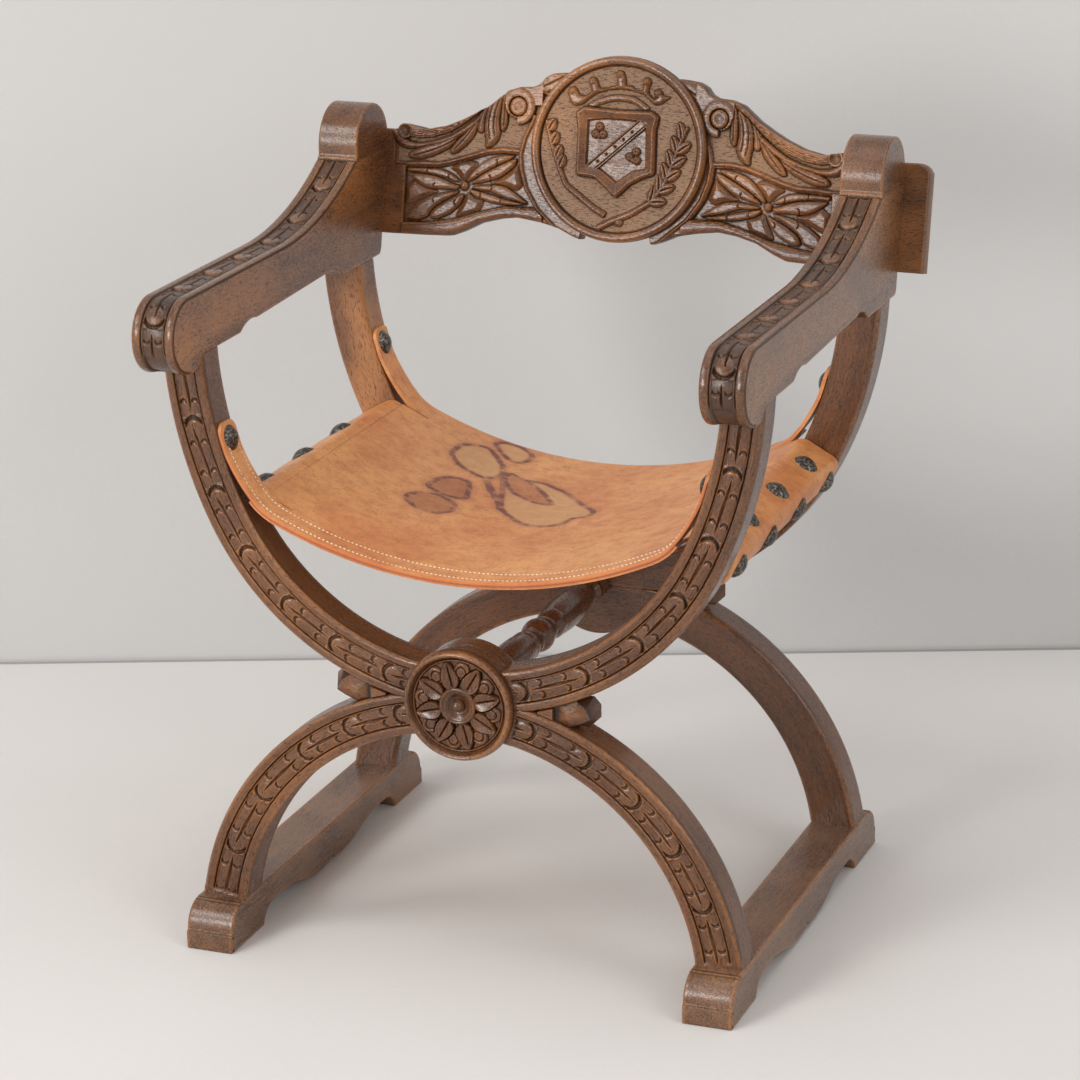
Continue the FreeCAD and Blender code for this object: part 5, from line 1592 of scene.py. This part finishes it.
def tab_path():
    """Points up the tab from where it leaves the sheet, as (x, z) on its upper face."""
    root, touch, top = ((tab_x(height), height) for height in (502.1, 554.1, 584.9))
    steps = [(root[0] - 12, root[1], 72, -1), (*touch, 204, -1), (*top, FLARE_RADIUS + LEG_INSIDE, -1)]
    return path(sheet_spot(TAB_TURN_X), steps)


class CHAIR_OT_sling(bpy.types.Operator):
    """The hanging leather seat with its tabs, edge binding and stitching"""

    bl_idname = "chair.sling"
    bl_label = "Leather sling"

    def execute(self, context):
        sizes = in_millimetres(context.scene.chair_leather)
        tab = spaced(tab_path(), 2)
        half = np.linspace(0, TAB_TURN_X, 84)
        edge = np.linspace(TAB_TURN_X, SHEET_END, len(tab))
        rows_y = np.concatenate([np.linspace(0, 183.4, 76), np.linspace(TAB_INNER + 0.2, SHEET_HALF, 19)])
        rows_y = np.concatenate([-rows_y[:0:-1], rows_y])
        columns = len(half) + len(tab) - 1
        grid = np.zeros((len(rows_y), 2 * columns - 1, 3))
        normal = np.zeros_like(grid)
        for index, y in enumerate(rows_y):
            inner = np.stack(sheet_spot(half), 1)
            if abs(y) < TAB_SLIT:
                outer = np.stack(sheet_spot(edge), 1)
            else:
                nearest = min(abs(y) - TAB_INNER, SHEET_HALF - abs(y)) + 0.2
                cut = TAB_CORNER - math.sqrt(max(TAB_CORNER ** 2 - max(TAB_CORNER - nearest, 0) ** 2, 0))
                outer = tab_shortened(tab, cut / (len(tab) * 2.0))
            line = np.vstack([inner, outer[1:]])
            line = np.vstack([line[:0:-1] * (-1, 1), line])
            grid[index, :, 0], grid[index, :, 1], grid[index, :, 2] = line[:, 0], y, line[:, 1]
        step_u = np.gradient(grid, axis=1)
        normal[..., 0], normal[..., 2] = -step_u[..., 2], step_u[..., 0]
        normal /= np.linalg.norm(normal, axis=-1)[..., None]
        roll = 1.1 * limited((np.abs(rows_y) - 219) / 3) ** 2
        tide, paler, redder = damp_marks(grid[..., 0], grid[..., 1])
        edge = np.broadcast_to(smooth_step(219.5, SHEET_HALF, np.abs(rows_y))[:, None], tide.shape)
        shape = Shape()
        top = shape.add(grid - normal * roll[:, None, None], worn=edge, carved=redder * 0.35,
                        punched=paler, tide=tide)
        # Painted shade: the underside of the sheet is darkened along its edges, over the binding.
        bottom = shape.add(grid - normal * sizes.thickness, carved=edge)
        split = (np.abs(rows_y[:-1]) - TAB_SLIT) * (np.abs(rows_y[1:]) - TAB_SLIT) < 0
        keep = np.ones((len(rows_y) - 1, 2 * columns - 2), bool)
        outside = np.arange(2 * columns - 2)
        outside = (outside < len(tab) - 1) | (outside >= 2 * columns - 1 - len(tab))
        keep[np.ix_(split, outside)] = False
        sheet_faces(shape, top, bottom, keep)
        shape.close()
        made = shape.piece("seat_sling", "seat leather", "leather", sharp=50)
        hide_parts("seat_leather")
        bridge(made)
        lower_layer = binding(sizes, half, tab)
        bridge(lower_layer)
        thread = stitching(sizes, tab)
        bridge(thread)
        return {"FINISHED"}


def binding(sizes, half, tab):
    """The second strip of leather sewn under both edges of the sling."""
    line = np.vstack([np.stack(sheet_spot(half), 1), tab[1:19]])
    line = spaced(np.vstack([line[:0:-1] * (-1, 1), line]), 3)
    ahead = np.gradient(line, axis=0)
    ahead /= np.hypot(*ahead.T)[:, None]
    down = np.stack([ahead[:, 1], -ahead[:, 0]], 1)
    shape = Shape()
    for way in ENDS.values():
        y = way * np.array([198.0, 206.0, 214.0, 218.5, 221.4])
        faces = []
        for depth in (sizes.thickness + 0.2, sizes.thickness + sizes.binding):
            x, z = (line + down * depth).T
            faces.append(np.stack([np.stack([x, np.full(len(x), at), z], 1) for at in y]))
        # Painted shade on the binding's outer edge, just under the sheet; the rubbed tone is laid over it.
        near_edge = np.broadcast_to(np.array([0, 0, 0, 0.2, 1.0])[:, None], faces[0].shape[:2])
        slab(shape, faces[0], faces[1], worn=near_edge, carved=near_edge * 0.8, grain=(0, 1, 2))
    return shape.piece("seat_binding", "seat leather", "leather", sharp=50)


def bridge(made):
    """Bakes the piece's placement into its mesh."""
    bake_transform(made)


def tab_shortened(tab, cut):
    share = np.linspace(0, 1 - cut, len(tab))
    at = np.linspace(0, 1, len(tab))
    return np.stack([np.interp(share, at, tab[:, 0]), np.interp(share, at, tab[:, 1])], 1)


def sheet_faces(shape, top, bottom, keep):
    """Faces over and under a sheet where keep is true, with walls round every open edge."""
    walls = []
    a, b, c, d = top[:-1, :-1], top[1:, :-1], top[1:, 1:], top[:-1, 1:]
    shape.faces.append(np.stack([a[keep], b[keep], c[keep], d[keep]], 1))
    a2, b2, c2, d2 = bottom[:-1, :-1], bottom[1:, :-1], bottom[1:, 1:], bottom[:-1, 1:]
    shape.faces.append(np.stack([d2[keep], c2[keep], b2[keep], a2[keep]], 1))
    wide = np.pad(keep, 1)
    for i, j in zip(*np.nonzero(keep)):
        if not wide[i, j + 1]:
            walls.append((top[i, j + 1], bottom[i, j + 1], bottom[i, j], top[i, j]))
        if not wide[i + 2, j + 1]:
            walls.append((top[i + 1, j], bottom[i + 1, j], bottom[i + 1, j + 1], top[i + 1, j + 1]))
        if not wide[i + 1, j]:
            walls.append((top[i, j], bottom[i, j], bottom[i + 1, j], top[i + 1, j]))
        if not wide[i + 1, j + 2]:
            walls.append((top[i + 1, j + 1], bottom[i + 1, j + 1], bottom[i, j + 1], top[i, j + 1]))
    shape.faces.append(np.array(walls))


def stitching(sizes, tab):
    """Two rows of thread along the front edge of the sling and up its front tabs."""
    half = np.stack(sheet_spot(np.linspace(0, TAB_TURN_X, 60)), 1)
    line = np.vstack([half, tab[1:-6]])
    line = np.vstack([line[:0:-1] * (-1, 1), line])
    spacing = 0.5
    even = spaced(line, spacing)
    shape = Shape()
    step = int(sizes.stitch_pitch / spacing)
    span = int(sizes.stitch_length / spacing)
    around = np.linspace(0, 2 * math.pi, 6, endpoint=False)
    for y in STITCH_ROWS:
        for start in range(0, len(even) - span - 1, step):
            part = even[start:start + span + 1:3]
            way = part[-1] - part[0]
            way = way / np.hypot(*way)
            up = np.array([-way[1], way[0]])
            share = np.linspace(0, 1, len(part))
            thick = sizes.thread * (0.35 + 0.65 * np.sqrt(limited(1 - (2 * share - 1) ** 4)))
            lift = 0.25 + 0.35 * np.sin(np.pi * share)
            rings = np.zeros((len(part), 6, 3))
            for k, angle in enumerate(around):
                out = lift + thick / 2 * math.sin(angle)
                rings[:, k, 0] = part[:, 0] + up[0] * out
                rings[:, k, 2] = part[:, 1] + up[1] * out
                rings[:, k, 1] = y + thick / 2 * math.cos(angle)
            shape.tube(rings)
    return shape.piece("seat_stitching", "waxed thread", "leather", sharp=60)


class CHAIR_OT_wraps(bpy.types.Operator):
    """The leather that wraps both rails, dimpled by its nails"""

    bl_idname = "chair.wraps"
    bl_label = "Rail leathers"

    def execute(self, context):
        for side, sign in SIDES.items():
            wrap_piece(side, sign)
        return {"FINISHED"}


def wrap_outline():
    """The section of the right rail's leather with the piece that runs down to the sheet."""
    wide, deep = WRAP_HALF_WIDTH, WRAP_HALF_DEPTH
    crest = (SLING_X + 1.5, CREST_Z + 0.4)
    around = [rail_spot(1, *spot) for spot in ((wide, deep), (wide, -deep), (-wide, -deep), (-wide, 2))]
    corners = [sheet_spot(SHEET_END), crest, *around, sheet_spot(SHEET_END, 4)]
    return filleted(corners, radii=(0, 15, 11.1, 11.1, 9, 2, 0))


def wrap_piece(side, sign):
    """One rail's leather, eased at its tail into the sheet and dimpled under the nails."""
    outline = wrap_outline() * (sign, 1)
    if sign < 0:
        outline = outline[::-1]
    outline = spaced(outline, 1.6, closed=True)
    shape = Shape()
    normals = outward(outline)
    nails = rail_nails(sign)
    tail_x, tail_z = sheet_spot(SHEET_END)
    past_tail = smooth_step(0, 12, np.hypot(np.abs(outline[:, 0]) - tail_x, outline[:, 1] - tail_z))
    ends = [(-WRAP_END, 6), (-WRAP_END, 2), (1 - WRAP_END, 0.6)]
    between = [(y, 0) for y in np.linspace(3 - WRAP_END, WRAP_END - 3, 180)]
    rows = []
    for y, inset in ends + between + [(-y, inset) for y, inset in ends[::-1]]:
        depth = np.full(len(outline), float(inset))
        for _, x, z, along, _ in nails:
            near = np.sqrt((outline[:, 0] - x) ** 2 + (outline[:, 1] - z) ** 2 + (y - along) ** 2)
            depth += 1.6 * bump(0, 21, near) * past_tail
        wave = 0.2 * np.sin(y * 0.11 + outline[:, 1] * 0.05) * np.sin(y * 0.031) * past_tail
        flat = outline - normals * (depth + wave)[:, None]
        rows.append(np.stack([flat[:, 0], np.full(len(flat), y), flat[:, 1]], 1))
    shape.tube(np.array(rows))
    made = shape.piece(f"{side}_rail_hide", "seat leather", "leather", sharp=50)
    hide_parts(f"{side}_rail_leather")
    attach(made, FRAME_OF_SIDE[side])


def rail_nails(side):
    """(name, x, z, along, outward angle) of one rail's nails."""
    top, outside = rail_spot(side, 0, WRAP_HALF_DEPTH), rail_spot(side, WRAP_HALF_WIDTH, 0)
    nails = []
    for index in range(3):
        along = side * (20 - (index - 1) * NAIL_PITCH)
        nails.append((f"top_nail_{index + 1}", *top, along, side * RAIL_TILT))
    for index in range(4):
        along = (index - 1.5) * NAIL_PITCH
        nails.append((f"side_nail_{index + 1}", *outside, along, side * (math.pi / 2 + RAIL_TILT)))
    return nails


class CHAIR_OT_nails(bpy.types.Operator):
    """The hammered dome nails of rails and tabs"""

    bl_idname = "chair.nails"
    bl_label = "Dome nails"

    def execute(self, context):
        sizes = in_millimetres(context.scene.chair_leather)
        for side, sign in SIDES.items():
            for name, x, z, along, angle in rail_nails(sign):
                nail_piece(f"{side}_{name}", (x, along, z), angle, sizes, side)
            y, z = TAB_NAIL
            tilt = math.atan2(tab_x(z + 5) - tab_x(z - 5), 10)
            for end, way in ENDS.items():
                spot = (sign * tab_x(z), way * y, z)
                nail_piece(f"{side}_{end}_tab_nail", spot, sign * (tilt - math.pi / 2), sizes, side)
        return {"FINISHED"}


def nail_piece(name, spot, angle, sizes, side):
    """A dome head beaten to small facets, on a short shank."""
    dice = np.random.default_rng(sum(ord(letter) for letter in name))
    radius, rise = sizes.nail_radius, sizes.nail_rise
    share = np.concatenate([np.linspace(0.02, 1, 30), [1.0, 0.97]])
    turn = np.linspace(0, 2 * math.pi, 64, endpoint=False)
    grid_s, grid_t = np.meshgrid(share, turn, indexing="ij")
    height = rise * (1 - grid_s ** 2.3)
    dents = np.zeros_like(height)
    flat_x, flat_y = radius * grid_s * np.cos(grid_t), radius * grid_s * np.sin(grid_t)
    for _ in range(46):
        a, r = dice.uniform(0, 2 * math.pi), radius * math.sqrt(dice.uniform(0, 0.95))
        near = np.hypot(flat_x - r * math.cos(a), flat_y - r * math.sin(a))
        dents = np.maximum(dents, bump(0, dice.uniform(1.2, 2.4), near))
    height = height - 0.3 * dents * (grid_s < 0.97)
    height[-2:] = [[-0.1], [-0.6]]
    out = grid_s * radius * (1 + 0.012 * np.sin(3 * grid_t + dice.uniform(0, 6)))
    local = np.stack([out * np.cos(grid_t), out * np.sin(grid_t), height], -1)
    around = np.linspace(0, 2 * math.pi, 12, endpoint=False)
    depths = np.array([-0.5, -12, -19.8])[:, None] + 0 * around
    shank = np.stack([2.5 * np.cos(around) + 0 * depths, 2.5 * np.sin(around) + 0 * depths, depths], -1)
    sine, cosine = math.sin(angle), math.cos(angle)
    turned = np.array([[cosine, 0, sine], [0, 1, 0], [-sine, 0, cosine]])
    shape = Shape()
    for part in (local, shank):
        shape.tube(part @ turned.T + np.array(spot))
    made = shape.piece(f"{name}_iron", "nail iron", "nail_iron", sharp=60)
    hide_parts(name)
    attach(made, FRAME_OF_SIDE[side])


# Plain parts and finishes


class CHAIR_OT_finishes(bpy.types.Operator):
    """Makes the finishes and gives them to the parts that keep their CAD shape"""

    bl_idname = "chair.finishes"
    bl_label = "Finishes"

    def execute(self, context):
        tones = read_tones(context.scene.chair_finish)
        carved_wood("leg wood", tones)
        carved_wood("arm wood", tones, dust=0.1, gloss=0.26)
        carved_wood("board wood", tones, gloss=0.32, golden=0.5, wax=0.15)
        carved_wood("rosette wood", tones, golden=0.65)
        carved_wood("shaded wood", tones)
        # Painted light: a lighter golden copy of the rear wood for the upper rear legs, partly their paler
        # stain.
        carved_wood("golden wood", tones, golden=0.7)
        carved_wood("foot wood", tones, dust=0.35)
        carved_wood("rail wood", tones, lengthwise=True)
        tan_leather("seat leather", tones)
        waxed_thread("waxed thread", tones)
        hammered_iron("nail iron", tones.iron, 0.3, 0.9)
        hammered_iron("peg steel", tones.steel, 0.3, 0.95)
        for name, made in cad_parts.items():
            kept = "peg steel" if name.endswith("peg") else "rail wood"
            for slot in made.material_slots:
                slot.material = bpy.data.materials[kept]
        return {"FINISHED"}


def read_tones(group):
    names = [name for name in group.bl_rna.properties.keys() if name not in ("rna_type", "name")]
    return SimpleNamespace(**{name: tuple(getattr(group, name)) for name in names})


# Floor, wall, lamps and camera


# The camera fitted to the photograph, in metres and radians, and its focal length in pixels.
CAMERA = (1.388712, -3.552796, 1.661816)
YAW, PITCH, ROLL = 0.3717, 0.3152, -0.0137
FOCAL, PICTURE = 3683.3422, 1080
SENSOR = 36
# The stage in metres: how far the wall is, half its width, and the floor before and behind it.
WALL_FAR, WALL_HALF, WALL_TOP = 4.6, 7, 6
FLOOR_NEAR, FLOOR_BEYOND = 11, 6


class CHAIR_OT_stage(bpy.types.Operator):
    """The pale floor and wall, the lamps and the camera at the photograph's place"""

    bl_idname = "chair.stage"
    bl_label = "Stage"

    def execute(self, context):
        tones = read_tones(context.scene.chair_finish)
        plaster("floor paint", tones.floor, 0.75)
        plaster("wall paint", tones.wall, 0.85)
        plaster("joint shade", tuple(value * 0.62 for value in tones.wall), 0.9)
        right = np.array([math.cos(YAW), math.sin(YAW)])
        ahead = np.array([-math.sin(YAW), math.cos(YAW)])
        foot = np.array([CAMERA[0], CAMERA[1] + BASE_Y * MM]) + ahead * WALL_FAR
        left, right = foot - right * WALL_HALF, foot + right * WALL_HALF
        near, past, before = ahead * -FLOOR_NEAR, ahead * FLOOR_BEYOND, ahead * -0.004
        floor = plane_piece("floor", "floor paint", left + near, right + near, right + past, left + past)
        wall = plane_piece("wall", "wall paint", left, right, top=WALL_TOP)
        joint = plane_piece("joint at the wall", "joint shade", left + before, right + before, top=0.003)
        lamp("key lamp", (-2.4, -3.0, 3.6), (0, 0, 0.45), 1.7, 60, (1.0, 0.985, 0.96))
        lamp("fill lamp", (3.6, -1.6, 2.6), (1.6, 4.0, 0.6), 2.6, 46, (0.98, 0.99, 1.0))
        lamp("top lamp", (0.2, -0.2, 3.8), (0, 0, 0), 3.2, 26, (1, 1, 1))
        lamp("low lamp", (-1.6, -4.2, 1.7), (0, 0, 0.6), 1.3, 85, (1.0, 0.99, 0.97))
        world = bpy.data.worlds.new("studio")
        world.use_nodes = True
        sky = world.node_tree.nodes["Background"].inputs
        sky["Color"].default_value = (1.0, 0.99, 0.98, 1)
        sky["Strength"].default_value = 0.58
        context.scene.world = world
        context.scene.view_settings.view_transform = "Standard"
        place_camera(context.scene)
        return {"FINISHED"}


def plane_piece(name, finish, *ends, top=None):
    """A flat piece of the stage: on the ground between four ends, or standing between two."""
    corners = [(*end, 0) for end in ends]
    if top is not None:
        corners += [(*end, top) for end in ends[::-1]]
    mesh = bpy.data.meshes.new(name)
    mesh.from_pydata(corners, [], [(0, 1, 2, 3)])
    mesh.materials.append(bpy.data.materials[finish])
    made = bpy.data.objects.new(name, mesh)
    bpy.context.scene.collection.objects.link(made)
    return made


def lamp(name, spot, target, size, power, shade):
    """A round area lamp in metres and watts that looks at its target."""
    data = bpy.data.lights.new(name, "AREA")
    data.shape = "DISK"
    data.size = size
    data.energy = power
    data.color = shade
    made = bpy.data.objects.new(name, data)
    made.location = spot
    made.rotation_euler = (Vector(target) - Vector(spot)).to_track_quat("-Z", "Y").to_euler()
    bpy.context.scene.collection.objects.link(made)


def place_camera(scene):
    """The camera that was fitted to the photograph."""
    data = bpy.data.cameras.new("camera")
    data.sensor_width = SENSOR
    data.sensor_fit = "HORIZONTAL"
    data.lens = FOCAL / PICTURE * SENSOR
    data.clip_end = 50
    made = bpy.data.objects.new("camera", data)
    level = math.cos(PITCH)
    forward = Vector((-math.sin(YAW) * level, math.cos(YAW) * level, -math.sin(PITCH)))
    right = Vector((math.cos(YAW), math.sin(YAW), 0))
    up = right.cross(forward)
    turned_right = right * math.cos(ROLL) + up * math.sin(ROLL)
    turned_up = -right * math.sin(ROLL) + up * math.cos(ROLL)
    rows = Matrix((turned_right, turned_up, -forward)).transposed()
    spot = (CAMERA[0], CAMERA[1] + BASE_Y * MM, CAMERA[2])
    made.matrix_world = Matrix.Translation(spot) @ rows.to_4x4()
    scene.collection.objects.link(made)
    scene.camera = made


# Add-on


STEPS = ("finishes", "legs", "hubs", "wedges", "arms", "feet", "board", "medallion", "sling", "wraps",
         "nails", "stage")


class CHAIR_PT_panel(bpy.types.Panel):
    """Settings and steps of the chair"""

    bl_label = "Folding Chair"
    bl_idname = "CHAIR_PT_panel"
    bl_space_type = "VIEW_3D"
    bl_region_type = "UI"
    bl_category = "Chair"

    def draw(self, context):
        for group in (context.scene.chair_carving, context.scene.chair_leather, context.scene.chair_finish):
            box = self.layout.box()
            for name in group.bl_rna.properties.keys():
                if name not in ("rna_type", "name"):
                    box.prop(group, name)
        for step in STEPS:
            self.layout.operator(f"chair.{step}")


CLASSES = (
    CHAIR_PG_carving, CHAIR_PG_leather, CHAIR_PG_finish, CHAIR_OT_finishes, CHAIR_OT_legs, CHAIR_OT_hubs,
    CHAIR_OT_wedges, CHAIR_OT_arms, CHAIR_OT_feet, CHAIR_OT_board, CHAIR_OT_medallion, CHAIR_OT_sling,
    CHAIR_OT_wraps, CHAIR_OT_nails, CHAIR_OT_stage, CHAIR_PT_panel,
)


def register():
    for kind in CLASSES:
        bpy.utils.register_class(kind)
    bpy.types.Scene.chair_carving = PointerProperty(type=CHAIR_PG_carving)
    bpy.types.Scene.chair_leather = PointerProperty(type=CHAIR_PG_leather)
    bpy.types.Scene.chair_finish = PointerProperty(type=CHAIR_PG_finish)


def unregister():
    del bpy.types.Scene.chair_carving, bpy.types.Scene.chair_leather, bpy.types.Scene.chair_finish
    for kind in reversed(CLASSES):
        bpy.utils.unregister_class(kind)


def main():
    register()
    for step in STEPS:
        getattr(bpy.ops.chair, step)()


if __name__ == "__main__":
    main()
